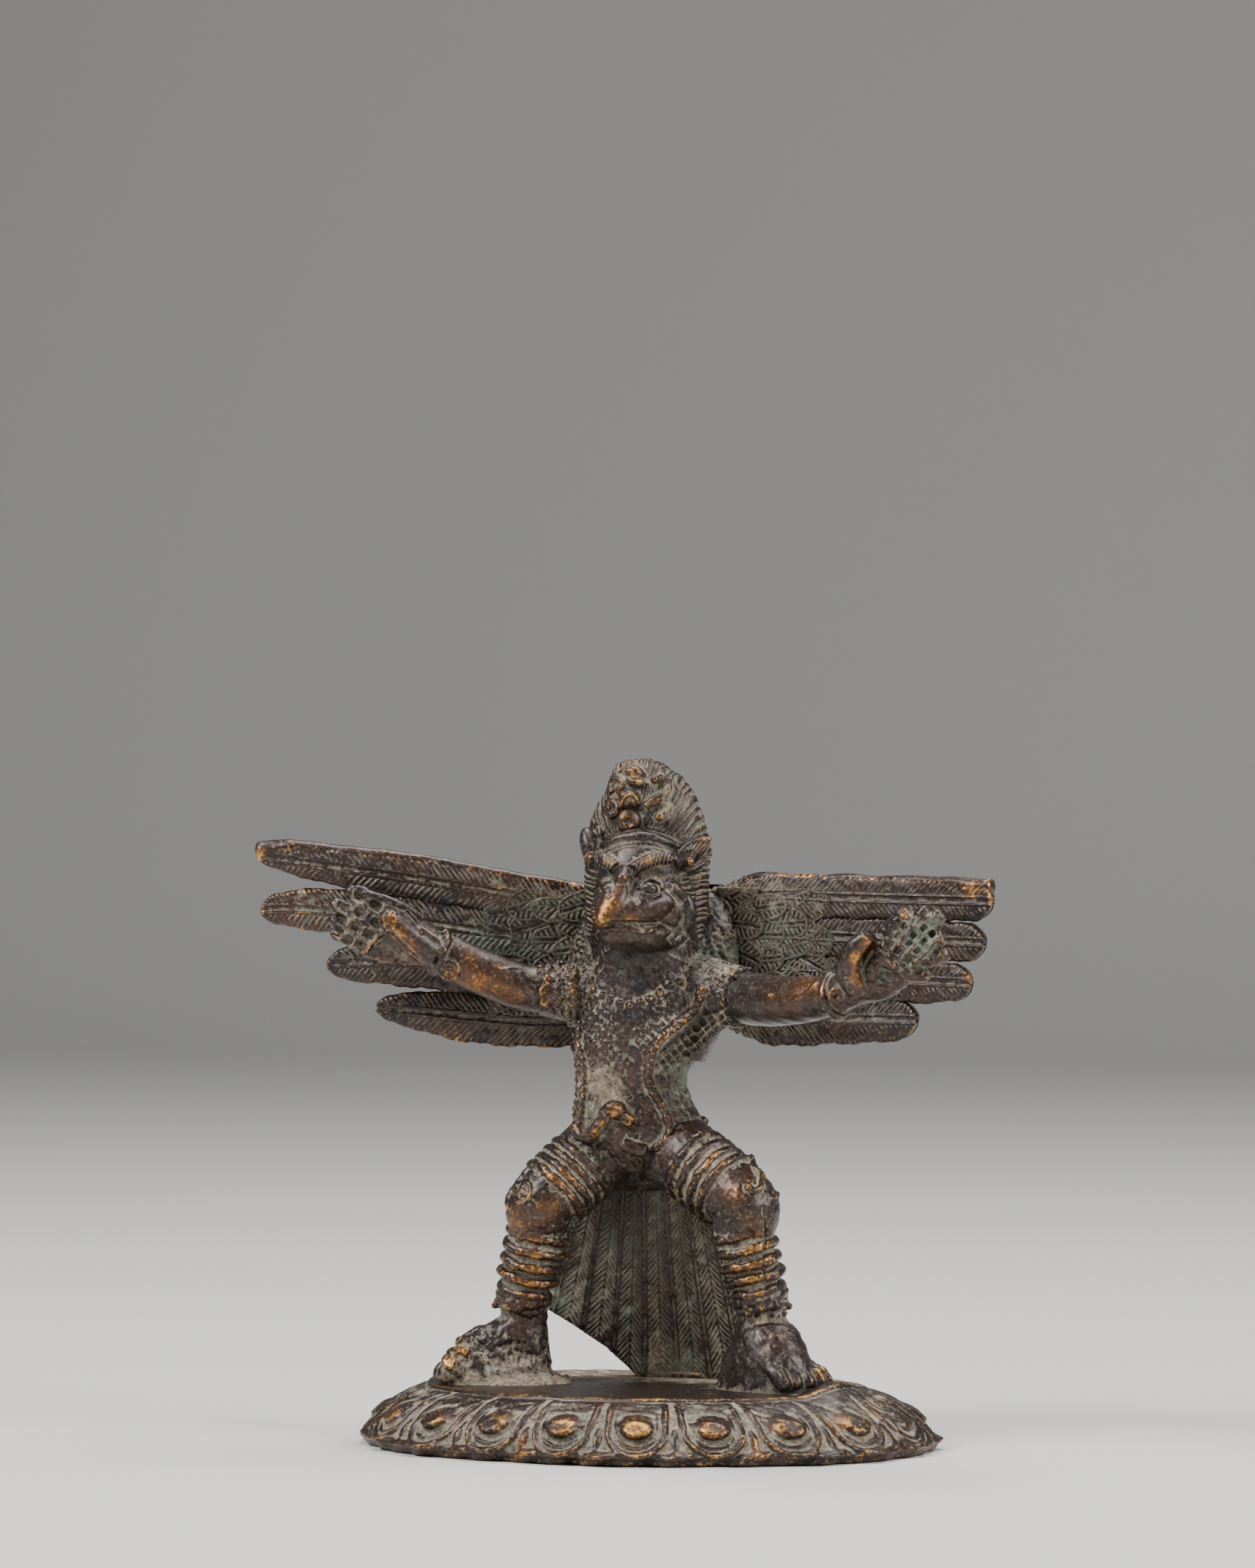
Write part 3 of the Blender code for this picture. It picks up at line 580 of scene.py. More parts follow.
    skin = Surface(piece)
    x, y, z = skin.places.T
    rising = np.maximum(z - 84.0, 0.0)
    reach = (np.abs(x + 0.9) + 0.4) * (1.0 + 0.045 * rising)
    angle = np.arctan2((z - 80.0) * 0.62, reach)
    upper = (15.5 * angle + 3.0 * np.sin(2.0 * angle)) * 0.80
    lean = 0.10 * np.maximum(np.abs(x + 0.9) - 6.0, 0.0) ** 1.5
    phase = np.where(z > 80.0, upper, (z - 80.0) / 0.86 - lean)
    phase = phase + 0.16 * np.sin(2.3 * phase + 0.4 * y) + 0.08 * ripple(skin.places, 3.0, 5)
    pixels = skin.pixels
    face = within(pixels, [(824, 1176), (826, 1152), (850, 1140), (895, 1136), (940, 1154), (940, 1200),
                           (936, 1218), (956, 1236), (960, 1260), (948, 1290), (940, 1330), (790, 1330),
                           (808, 1290), (818, 1262), (814, 1230), (820, 1200)], 7.0)
    ears = within(pixels, [(928, 1150), (985, 1144), (990, 1196), (930, 1204)], 8.0)
    ears = np.maximum(ears, within(pixels, [(792, 1130), (830, 1130), (828, 1196), (792, 1196)], 8.0))
    ears = ears * (y < 0.6)
    ornaments = np.zeros(len(x))
    for spot, radius in (((867, 1128), 20), ((866, 1098), 19), ((874, 1068), 18)):
        gap = np.linalg.norm(pixels - np.array(spot, float), axis=1)
        ornaments = np.maximum(ornaments, 1.0 - ramp(gap, radius - 3.0, radius + 1.0))
    for path in HEAD_SCROLLS:
        gap, _ = distance_to(pixels, smooth_path(path))
        ornaments = np.maximum(ornaments, 1.0 - ramp(gap, 8.0, 11.0))
        skin.gold += 0.35 * hill(gap / 8.0) * skin.front
    plain = np.maximum(np.maximum(face, ornaments) * (skin.facing > -0.1), ears)
    low = ramp(z, 65.0, 67.0)
    depth = 0.50 * ramp(z, 76.0, 84.0) + 0.34 * (1.0 - ramp(z, 76.0, 84.0))
    skin.comb(phase, (1.0 - plain) * low, depth)
    for pixels_above in ([(830, 1155), (850, 1145), (870, 1141), (895, 1142), (916, 1148), (936, 1157)],
                         [(830, 1176), (850, 1166), (870, 1162), (895, 1163), (914, 1169), (929, 1178)]):
        skin.line(pixels_above, 0.36, -0.22)
    # Cut lines
    skin.line([(829, 1273), (840, 1269), (865, 1271), (891, 1275), (903, 1274)], 0.30, -0.42)
    skin.line([(830, 1279), (846, 1276), (867, 1280), (883, 1283), (897, 1279)], 0.34, 0.24)
    skin.line([(836, 1264), (850, 1263), (875, 1265), (900, 1267)], 0.45, 0.12)
    skin.dot((863, 1130), 1.0, -0.95)
    skin.line([(908, 1217), (924, 1228), (934, 1244), (937, 1262), (930, 1280), (918, 1291)], 0.7, -0.25)
    skin.line([(855, 1110), (857, 1099), (866, 1093), (875, 1099), (878, 1110)], 0.42, 0.45)
    skin.line([(862, 1110), (863, 1103), (867, 1100), (871, 1104), (872, 1110)], 0.26, 0.3)
    skin.line([(852, 1113), (866, 1110), (882, 1113)], 0.34, -0.35)
    skin.line([(862, 1068), (874, 1071), (887, 1068)], 0.30, -0.45)
    skin.line([(869, 1226), (875, 1209), (893, 1202), (911, 1208)], 1.1, -0.35)
    skin.line([(822, 1222), (828, 1209), (840, 1206)], 0.6, -0.15)
    skin.line([(843, 1216), (841, 1226), (836, 1233)], 0.5, -0.2)
    skin.line([(864, 1214), (868, 1228), (876, 1240)], 0.6, -0.25)
    for pixel in ((947, 1184), (812, 1179)):
        skin.dot(pixel, 0.36, 0.30)
    brows = within(pixels, [(862, 1202), (884, 1181), (905, 1171), (930, 1170), (926, 1184), (900, 1190),
                            (872, 1206)], 4.0)
    brows = np.maximum(brows, within(pixels, [(826, 1172), (846, 1184), (850, 1200), (828, 1192)], 4.0))
    skin.comb((pixels[:, 0] + 0.25 * pixels[:, 1]) / 5.2, brows * skin.front, 0.22)
    fleck = within(pixels, [(948, 1160), (984, 1154), (982, 1166), (952, 1176)], 3.0)
    skin.comb((pixels[:, 0] + 0.9 * pixels[:, 1]) / 6.0, fleck * skin.front * 0.8, 0.16)
    skin.rise += 0.03 * ripple(skin.places, 2.6, 1)
    skin.press()
    skin.stain("gold", (840, 1243, 22, 1.1), (829, 1259, 20, 1.3), (823, 1269, 14, 0.8),
               (851, 1222, 14, 0.6), (868, 1262, 22, 0.5), (862, 1127, 20, 0.6), (866, 1098, 20, 0.6),
               (874, 1067, 18, 0.6), (893, 1186, 24, 0.55), (836, 1184, 14, 0.4), (947, 1183, 12, 0.6),
               (968, 1163, 18, 0.55), (812, 1179, 12, 0.5), (908, 1262, 26, 0.5), (930, 1254, 16, 0.3),
               (860, 1266, 20, 0.35), (865, 1045, 30, 0.4), (975, 1262, 22, 0.4), (855, 1207, 10, 0.4),
               (850, 1300, 24, 0.35))
    # Painted shade under the beak, and darker eyes and brows
    skin.stain("shade_and_dark_tone", (893, 1225, 10, 1.2), (833, 1222, 8, 0.8), (850, 1298, 34, 0.8),
               (900, 1302, 34, 0.6), (875, 1190, 30, 0.3))
    skin.stain("green", (874, 1238, 22, 0.5), (945, 1285, 34, 0.8), (930, 1212, 24, 0.7),
               (838, 1215, 20, 0.5), (925, 1110, 60, 0.5))
    skin.stain("tan", (935, 1100, 60, 0.6), (862, 1070, 60, 0.4), (845, 1155, 40, 0.3))
    return skin


# The body
def body():
    forms = [
        limb([(-2.0, 1.5, 33.4, 4.6, 4.6), (-2.0, 1.0, 38.6, 10.4, 6.8), (-2.4, 0.8, 42.6, 9.5, 6.6),
              (-2.7, 0.6, 46.6, 8.8, 6.5), (-2.4, 0.4, 50.6, 9.2, 6.7), (-1.0, 0.4, 55.6, 10.4, 7.1),
              (-0.3, 0.6, 60.6, 10.6, 6.9), (0.2, 0.6, 64.8, 8.8, 6.8), (0.3, 0.2, 69.0, 7.8, 7.0),
              (0.3, 0.0, 74.0, 7.2, 7.0)], segments=64),
        limb([(13.4, -0.4, 59.6, 1.8, 3.2), (10.2, 0.2, 55.6, 1.9, 3.6), (7.6, 0.6, 51.0, 1.8, 3.6)],
             SIDEWAYS),
        limb([(-6.0, 1.0, 61.8, 4.6, 4.6), (-11.0, 0.4, 60.8, 4.7, 4.6), (-17.0, -1.4, 61.2, 3.9, 4.1)], UP),
        limb([(6.0, 1.0, 62.6, 4.8, 4.8), (11.0, 0.0, 61.2, 4.9, 4.7), (16.2, -2.6, 60.2, 4.8, 4.5)], UP),
        ball((-7.6, 6.0, 65.0), (6.6, 4.0, 10.6)),
        ball((7.2, 5.8, 66.4), (6.2, 4.0, 10.4)),
        limb([(-2.0, 3.0, 42.0, 8.0, 5.0), (-1.6, 6.5, 36.0, 8.4, 3.4), (-1.4, 8.6, 30.0, 7.4, 1.6)]),
    ]
    rough = Rough(forms)
    right_snake = [(788, 1334), (786, 1358), (786, 1380), (788, 1405), (792, 1430), (799, 1455), (801, 1480),
                   (800, 1505), (797, 1530), (797, 1550)]
    left_snake = [(968, 1362), (957, 1386), (941, 1402), (924, 1416), (908, 1430), (898, 1446), (893, 1464),
                  (891, 1482), (895, 1500)]
    lower_snake = [(896, 1500), (905, 1514), (913, 1530), (919, 1549), (915, 1565), (901, 1576)]
    rough.line(right_snake, 0.62, -0.05)
    for side, start in ((-3.6, 0.0), (3.6, 0.5)):
        rough.beads([(px + side, py) for px, py in right_snake], 1.15, 0.58, 0.30, start)
    rough.line(left_snake, 0.50, -0.25)
    rough.beads(left_snake, 1.16, 0.66, 0.30)
    rough.line([*lower_snake, (886, 1581)], 0.66, -0.1)
    rough.beads([(891, 1482), *lower_snake], 1.12, 0.70, 0.45)
    rough.line([(857, 1572), (872, 1578), (888, 1581)], 1.15, 0.4)
    rough.line([(797, 1548), (800, 1560), (810, 1563), (820, 1556), (829, 1543), (835, 1530), (842, 1523)],
               1.20, 0.45)
    rough.lump((848, 1526), (1.85, 1.5, 1.3), 0.9)
    rough.line([(855, 1528), (863, 1535), (873, 1542)], 0.62, 1.0)
    rough.line([(854, 1537), (862, 1543), (869, 1547)], 0.45, 0.8)
    for pixel in ((814, 1348), (817, 1361), (828, 1369), (839, 1376), (852, 1380), (866, 1383), (880, 1378),
                  (893, 1373), (907, 1365), (922, 1356), (935, 1350)):
        rough.bead(pixel, 0.58, 0.05)
    rough.line([(960, 1355), (955, 1378), (930, 1400), (908, 1419), (890, 1444), (886, 1480)], 0.26, 0.12)
    # The armlets' rows of beads, and the knob at the left hip
    for pixel in ((1008, 1342), (1022, 1338), (1010, 1374), (1008, 1391), (1010, 1406), (700, 1326),
                  (713, 1326), (730, 1325), (742, 1328), (756, 1324), (768, 1328), (752, 1347),
                  (747, 1363), (749, 1377)):
        rough.ring(pixel, 0.62, 0.15, 0.35)
    rough.bead((976, 1541), 0.9, 0.2)
    rough.bead((968, 1548), 0.7, 0.2)
    piece = rough.melt("body", 0.19, 3)

    skin = Surface(piece)
    pixels = skin.pixels
    x, _, z = skin.places.T
    for outline in ([(808, 1384), (836, 1380), (850, 1420), (852, 1448), (836, 1462), (814, 1446),
                     (803, 1415)],
                    [(868, 1416), (905, 1392), (925, 1386), (915, 1408), (892, 1434), (872, 1446)]):
        scales, _ = skin.lattice(outline, math.radians(40), (1.30, 1.15), 0.28, 1.6)
        skin.shade_and_dark_tone += 0.7 * scales
    net = [(976, 1396), (1000, 1386), (1002, 1404), (977, 1424), (952, 1448), (915, 1478), (903, 1474),
           (910, 1450), (932, 1430), (954, 1412)]
    pits, nets = skin.lattice(net, math.radians(-38), (1.25, 1.20), -0.75, 0.5)
    # The net's pits darkened as painted shade
    skin.shade_and_dark_tone += 1.2 * pits
    skin.tan += 2.2 * nets
    skin.green += 0.8 * nets
    skin.line([(838, 1532), (830, 1548), (818, 1561)], 0.3, -0.2)
    for index in range(5):
        skin.line([(812 + index * 5, 1564 - index * 4), (816 + index * 5, 1569 - index * 4)], 0.25, -0.35)
    skin.line([(856, 1536), (864, 1541), (872, 1545)], 0.22, -0.40)
    skin.dot((849, 1527), 0.80, 0.30)
    skin.dot((849, 1527), 0.46, -0.45)
    skin.line([(905, 1306), (918, 1314), (934, 1320), (952, 1330)], 0.30, 0.16)
    skin.line([(1003, 1292), (1016, 1294), (1026, 1306), (1028, 1318)], 0.34, -0.45)
    right_side = [(745, 1270), (800, 1280), (812, 1330), (805, 1400), (770, 1400), (735, 1330)]
    left_side = [(960, 1290), (1000, 1270), (1040, 1300), (1020, 1400), (975, 1360)]
    shoulders = np.maximum(within(pixels, right_side, 14.0), within(pixels, left_side, 14.0))
    skin.rise += 0.16 * ripple(skin.places, 1.0, 11) * shoulders * skin.front
    skin.rise += 0.05 * ripple(skin.places, 2.4, 12) + 0.03 * ripple(skin.places, 0.8, 13)
    # Low scales on the back
    back = ramp(-skin.facing, 0.1, 0.5) * ramp(z, 40.0, 46.0)
    scale_size = 1.9
    rising = np.abs(np.sin(math.pi * (x + z) / scale_size))
    falling = np.abs(np.sin(math.pi * (x - z) / scale_size))
    skin.rise += 0.22 * back * rising * falling
    skin.press()
    skin.stain("gold", *[(*pixel, 14, 0.3) for pixel in right_snake],
               *[(*pixel, 14, 0.36) for pixel in left_snake[:-1]], (849, 1524, 13, 0.9),
               (840, 1532, 13, 0.9), (830, 1543, 13, 0.9), (819, 1559, 13, 0.9), (866, 1539, 13, 0.9),
               (912, 1528, 12, 0.2), (918, 1548, 12, 0.2), (913, 1566, 12, 0.2), (1009, 1374, 14, 0.45),
               (1008, 1392, 14, 0.45), (752, 1347, 14, 0.45), (747, 1363, 14, 0.45),
               (749, 1377, 14, 0.45))
    # Painted shade under the chin and low on the body, and darker beads and chest
    skin.stain("shade_and_dark_tone", (893, 1486, 9, 0.9), (897, 1500, 9, 0.9), (903, 1512, 9, 0.9),
               (870, 1325, 60, 0.8), (862, 1400, 34, 0.5), (812, 1590, 34, 0.7))
    skin.stain("tan", (832, 1490, 56, 0.95), (815, 1540, 34, 0.6), (760, 1320, 50, 0.7),
               (1000, 1320, 50, 0.5), (960, 1550, 24, 0.6))
    skin.stain("green", (945, 1500, 48, 1.1), (930, 1460, 40, 0.6), (985, 1310, 50, 0.8),
               (860, 1425, 36, 0.4), (820, 1315, 40, 0.4))
    return skin


# Arms and hands
def palm_cells(skin, cells, turn, size, depth=0.55):
    """The hollows between a hand's pale lines, sunk and darkened as painted shade, each a small slanting box
    round a pixel.
    """
    for pixel in cells:
        reach = skin.pixels - np.array(pixel, float)
        along = (reach[:, 0] * math.cos(turn) + reach[:, 1] * math.sin(turn)) / size[0]
        across = (reach[:, 1] * math.cos(turn) - reach[:, 0] * math.sin(turn)) / size[1]
        box = np.clip(1.0 - along ** 6 - across ** 6, 0.0, 1.0) ** 0.5 * skin.front
        skin.rise -= depth * box
        # The cells darkened as painted shade
        skin.shade_and_dark_tone += 0.9 * box
        skin.gold += 0.25 * box
        near = np.clip(1.3 - (along / 1.5) ** 4 - (across / 1.5) ** 4, 0.0, 1.0) * skin.front
        skin.tan += 0.9 * near * (1.0 - box)


def right_arm():
    picture_up = (0.464, 0.0, 0.886)
    forms = [
        limb([(-13.0, -0.4, 61.0, 3.7, 4.0), (-19.0, -2.4, 61.5, 3.6, 3.9), (-25.0, -5.4, 63.9, 3.5, 3.5),
              (-30.6, -8.0, 66.8, 3.2, 2.5), (-34.6, -9.2, 68.4, 2.8, 2.0)], UP),
        limb([(-32.0, -8.8, 67.8, 3.0, 1.9), (-36.0, -10.0, 69.2, 4.3, 2.0), (-39.6, -10.7, 70.6, 4.9, 1.8),
              (-42.6, -11.1, 71.9, 4.8, 1.5), (-45.2, -11.4, 73.0, 4.0, 1.2)], picture_up),
        limb([(-31.6, -10.2, 67.0, 2.3, 2.4), (-34.2, -12.2, 69.2, 2.2, 2.1), (-36.8, -13.6, 71.4, 1.9, 1.7),
              (-38.7, -14.0, 72.9, 1.3, 1.2)], picture_up),
        hoop((-31.0, -8.2, 66.9), (-6.0, -2.6, 2.0), 3.1, 2.5, 0.75, UP, 0.1),
    ]
    fingers = (((-40.6, -11.0, 75.0), (-44.4, -11.8, 76.4)), ((-41.6, -11.2, 72.6), (-47.0, -11.8, 74.4)),
               ((-42.2, -11.2, 70.6), (-47.1, -11.8, 72.1)), ((-42.6, -11.2, 68.6), (-46.8, -11.6, 69.9)))
    for root, tip in fingers:
        forms.append(limb([(*root, 1.2, 1.5), (*tip, 1.15, 1.25)], picture_up))
        forms.append(ball(tip, (1.2, 1.2, 1.2)))
    rough = Rough(forms)
    rough.line([(488, 1221), (510, 1225), (535, 1233), (562, 1246), (583, 1262)], 0.75, -0.2)
    for pixel, radius in (((606, 1308), 0.75), ((618, 1334), 1.35), ((598, 1321), 0.55), ((594, 1332), 0.60)):
        rough.ring(pixel, radius, 0.15, 0.35 * radius)
    rough.bead((612, 1283), 0.75, 0.0)
    rough.line([(668, 1319), (677, 1327), (690, 1333), (703, 1331), (715, 1334)], 0.22, 0.02)
    rough.line([(714, 1336), (724, 1350), (738, 1376)], 0.60, -0.25)
    piece = rough.melt("right_arm", 0.16, 5)

    skin = Surface(piece)
    skin.dot((618, 1334), 0.85, -0.7)
    skin.dot((606, 1308), 0.45, -0.5)
    cells = ((494, 1233), (516, 1245), (471, 1246), (494, 1255), (517, 1269), (468, 1263), (488, 1274),
             (507, 1285), (464, 1281), (477, 1292), (495, 1300))
    palm_cells(skin, cells, math.radians(28), (8.5, 6.5))
    skin.line([(503, 1311), (512, 1296), (526, 1284), (537, 1279)], 0.45, 0.45)
    skin.dot((530, 1306), 2.4, -1.1)
    skin.dot((554, 1320), 2.2, -0.9)
    skin.line([(534, 1276), (548, 1293), (572, 1318)], 0.55, -0.6)
    skin.line([(700, 1300), (670, 1296), (630, 1288)], 0.5, 0.15)
    skin.line([(560, 1252), (572, 1266), (580, 1284)], 0.26, 0.25)
    skin.dot((540, 1257), 0.75, 0.35)
    skin.dot((540, 1257), 0.45, -0.35)
    skin.rise += 0.03 * ripple(skin.places, 3.0, 3)
    skin.press()
    skin.stain("gold", (536, 1266, 16, 0.8), (550, 1284, 18, 0.8), (566, 1302, 18, 0.7),
               (540, 1257, 10, 0.5), (640, 1345, 34, 0.6), (670, 1352, 40, 0.75), (705, 1368, 34, 0.7),
               (617, 1334, 18, 0.4), (690, 1330, 18, 0.4), (645, 1316, 20, 0.5), (530, 1328, 30, 0.5),
               (500, 1306, 16, 0.4), (575, 1325, 14, 0.5))
    skin.stain("tan", (548, 1316, 24, 0.6), (745, 1340, 26, 0.5))
    skin.stain("green", (600, 1290, 26, 0.5))
    return skin


def left_arm():
    picture_down = (0.72, 0.0, -0.69)
    forms = [
        limb([(12.6, -0.4, 61.0, 4.1, 4.1), (20.0, -5.0, 60.0, 4.0, 4.0), (27.6, -10.6, 60.3, 3.6, 3.6),
              (34.6, -15.0, 61.5, 3.0, 2.7), (39.0, -17.2, 63.4, 2.8, 2.2)], UP),
        limb([(37.0, -16.4, 62.4, 2.8, 2.4), (41.2, -18.4, 64.8, 4.4, 2.3), (44.4, -19.6, 67.8, 4.7, 2.0),
              (47.4, -20.4, 70.4, 4.4, 1.6), (49.4, -20.8, 72.0, 3.4, 1.2)], picture_down),
        limb([(38.6, -18.8, 62.0, 1.8, 1.9), (37.4, -21.0, 65.0, 1.8, 1.9), (38.6, -22.2, 68.2, 1.6, 1.7),
              (40.8, -22.4, 70.4, 1.2, 1.2)], (0.7, -0.7, 0.0)),
        hoop((34.0, -14.6, 61.1), (6.5, -3.6, 1.8), 3.1, 2.6, 0.8, UP, 0.1),
    ]
    fingers = (((43.2, -20.2, 70.6), (46.2, -21.2, 73.4), 1.3),
               ((46.0, -20.8, 70.4), (49.2, -21.6, 73.6), 1.3),
               ((48.0, -20.8, 71.0), (51.4, -21.2, 73.2), 1.2),
               ((47.6, -20.4, 68.4), (51.2, -20.8, 70.0), 1.3),
               ((47.4, -20.0, 66.4), (51.8, -20.3, 67.6), 1.3),
               ((45.6, -19.4, 64.8), (48.9, -19.4, 64.8), 1.2))
    for root, tip, thick in fingers:
        forms.append(limb([(*root, thick, thick), (*tip, thick, thick)], UP))
        forms.append(ball(tip, (thick * 1.05, thick, thick * 1.05)))
    rough = Rough(forms)
    rough.ring((1150, 1369), 1.0, 0.2, 0.35)
    rough.ring((1169, 1360), 0.55, 0.15, 0.3)
    rough.ring((1158, 1386), 0.55, 0.15, 0.3)
    rough.bead((1059, 1369), 0.4, 0.05)
    rough.line([(1072, 1380), (1090, 1376), (1108, 1366), (1124, 1350)], 0.22, 0.02)
    piece = rough.melt("left_arm", 0.16, 5)

    skin = Surface(piece)
    skin.dot((1150, 1369), 0.6, -0.7)
    cells = []
    for finger, count in enumerate((3, 4, 4, 3)):
        for step in range(count):
            across = 1223 + 13 * finger + 10.4 * step + 2.4 * math.sin(5.0 * finger + 3.0 * step)
            down = 1297 + 12 * finger - 11.8 * step + 2.2 * math.cos(4.0 * finger + 7.0 * step)
            cells.append((across, down))
    palm_cells(skin, cells, math.radians(-49), (5.4, 4.2), 0.34)
    skin.tan *= 0.5
    for finger in range(3):
        start = np.array((1225.0 + 13 * finger, 1310.0 + 12 * finger))
        skin.line([start, start + (18, -20), start + (40, -46)], 0.34, 0.35)
    skin.line([(1222, 1316), (1230, 1326), (1237, 1337)], 0.42, 0.4)
    skin.line([(1204, 1352), (1202, 1338), (1206, 1326)], 0.34, 0.3)
    skin.dot((1214, 1340), 2.6, -0.8)
    skin.line([(1190, 1350), (1188, 1330), (1200, 1310)], 0.36, -0.2)
    palm = [(1200, 1290), (1245, 1240), (1310, 1250), (1300, 1330), (1240, 1370), (1190, 1350)]
    skin.rise += 0.10 * ripple(skin.places, 1.5, 9) * within(skin.pixels, palm)
    skin.rise += 0.03 * ripple(skin.places, 3.0, 6)
    skin.press()
    skin.stain("gold", (1098, 1358, 30, 0.7), (1122, 1358, 26, 0.7), (1064, 1378, 26, 0.5),
               (1090, 1384, 26, 0.5), (1178, 1320, 20, 1.2), (1180, 1345, 20, 1.2), (1194, 1300, 18, 1.1),
               (1150, 1369, 16, 0.6), (1245, 1256, 12, 0.7), (1060, 1370, 10, 0.5))
    skin.stain("green", (1262, 1285, 50, 1.1), (1292, 1262, 20, 1.2), (1215, 1345, 30, 0.4))
    skin.stain("tan", (1270, 1290, 40, 0.5), (1165, 1350, 24, 0.5))
    skin.stain("shade_and_dark_tone", (1222, 1352, 26, 0.6), (1070, 1385, 70, 0.9))
    return skin


# Legs and feet
def leg(hip, knee, ankle, shin_width, turn):
    hip = Vector(hip)
    knee = Vector(knee)
    ankle = Vector(ankle)
    middle = (hip + knee) / 2.0
    shin_top = knee + Vector((-0.6, 0.8, -4.6))
    shin_low = ankle + Vector((0.0, -0.6, 4.0))
    forms = [
        limb([(*hip, 6.0, 6.2), (*middle, 5.6, 5.7), (*knee, 5.0, 5.1),
              (*(knee + Vector((-0.2, 0.6, -3.2))), 4.6, 4.6)], FORWARD),
        ball(knee, (4.9, 5.1, 5.4)),
        limb([(*knee, 4.8, 4.8), (*shin_top, shin_width + 0.5, shin_width + 0.4),
              (*shin_low, shin_width * 0.90, shin_width * 0.90), (*ankle, 3.5, 3.3),
              (*(ankle + Vector((0.0, 0.4, -6.5))), 4.2, 4.0)], SIDEWAYS),
    ]
    shin = shin_low - shin_top
    for index, share in enumerate((-0.02, 0.22, 0.45, 0.67)):
        forms.append(hoop(shin_top + shin * share, shin, shin_width + 0.45, shin_width + 0.25, 0.80,
                          SIDEWAYS, 0.14, turn + index * 1.3))
    for share, thick in ((0.90, 0.85), (1.02, 0.90), (1.14, 0.60)):
        forms.append(hoop(shin_top + shin * share, shin, shin_width - 0.3, shin_width - 0.3, thick,
                          SIDEWAYS, 0.22, turn + share * 9.0))
    for angle in np.arange(11) / 11.0 * math.tau:
        out = Vector((math.cos(angle + turn), math.sin(angle + turn), 0.0)) * (shin_width + 0.15)
        forms.append(ball(shin_top + shin * (1.10 + 0.05 * math.sin(angle * 3.0)) + out, (0.62, 0.62, 0.62)))
    thigh = knee - hip
    for share in (0.36, 0.49, 0.62, 0.75):
        forms.append(hoop(hip + thigh * share, thigh, 5.45, 5.55, 0.78, FORWARD, 0.12, turn))
    return forms


def foot(heel, toes, width, flare):
    """A foot fused with the plate: it flares from the ankle to the heel and to five toes."""
    heel = Vector(heel)
    toes = Vector(toes)
    along = (toes - heel).normalized()
    across = along.cross(UP)
    length = (toes - heel).length
    forms = [limb(flare, along, 56)]
    for index in range(5):
        sidestep = (index - 2) * width * 0.43
        reach = length * (0.99 - 0.035 * abs(index - 1))
        tip = heel + along * reach + across * sidestep
        root = heel + along * (length * 0.55) + across * (sidestep * 0.8)
        middle = root.lerp(tip, 0.6)
        forms.append(limb([(root.x, root.y, 4.0, 1.0, 1.2), (middle.x, middle.y, 3.4, 1.1, 1.3),
                           (tip.x, tip.y, 1.9, 1.05, 1.5),
                           (tip.x + along.x * 0.7, tip.y + along.y * 0.7, 0.6, 1.0, 0.9)], across))
        forms.append(ball((tip.x + along.x * 0.5, tip.y + along.y * 0.5, 2.4), (0.75, 0.6, 0.8), along))
    return forms


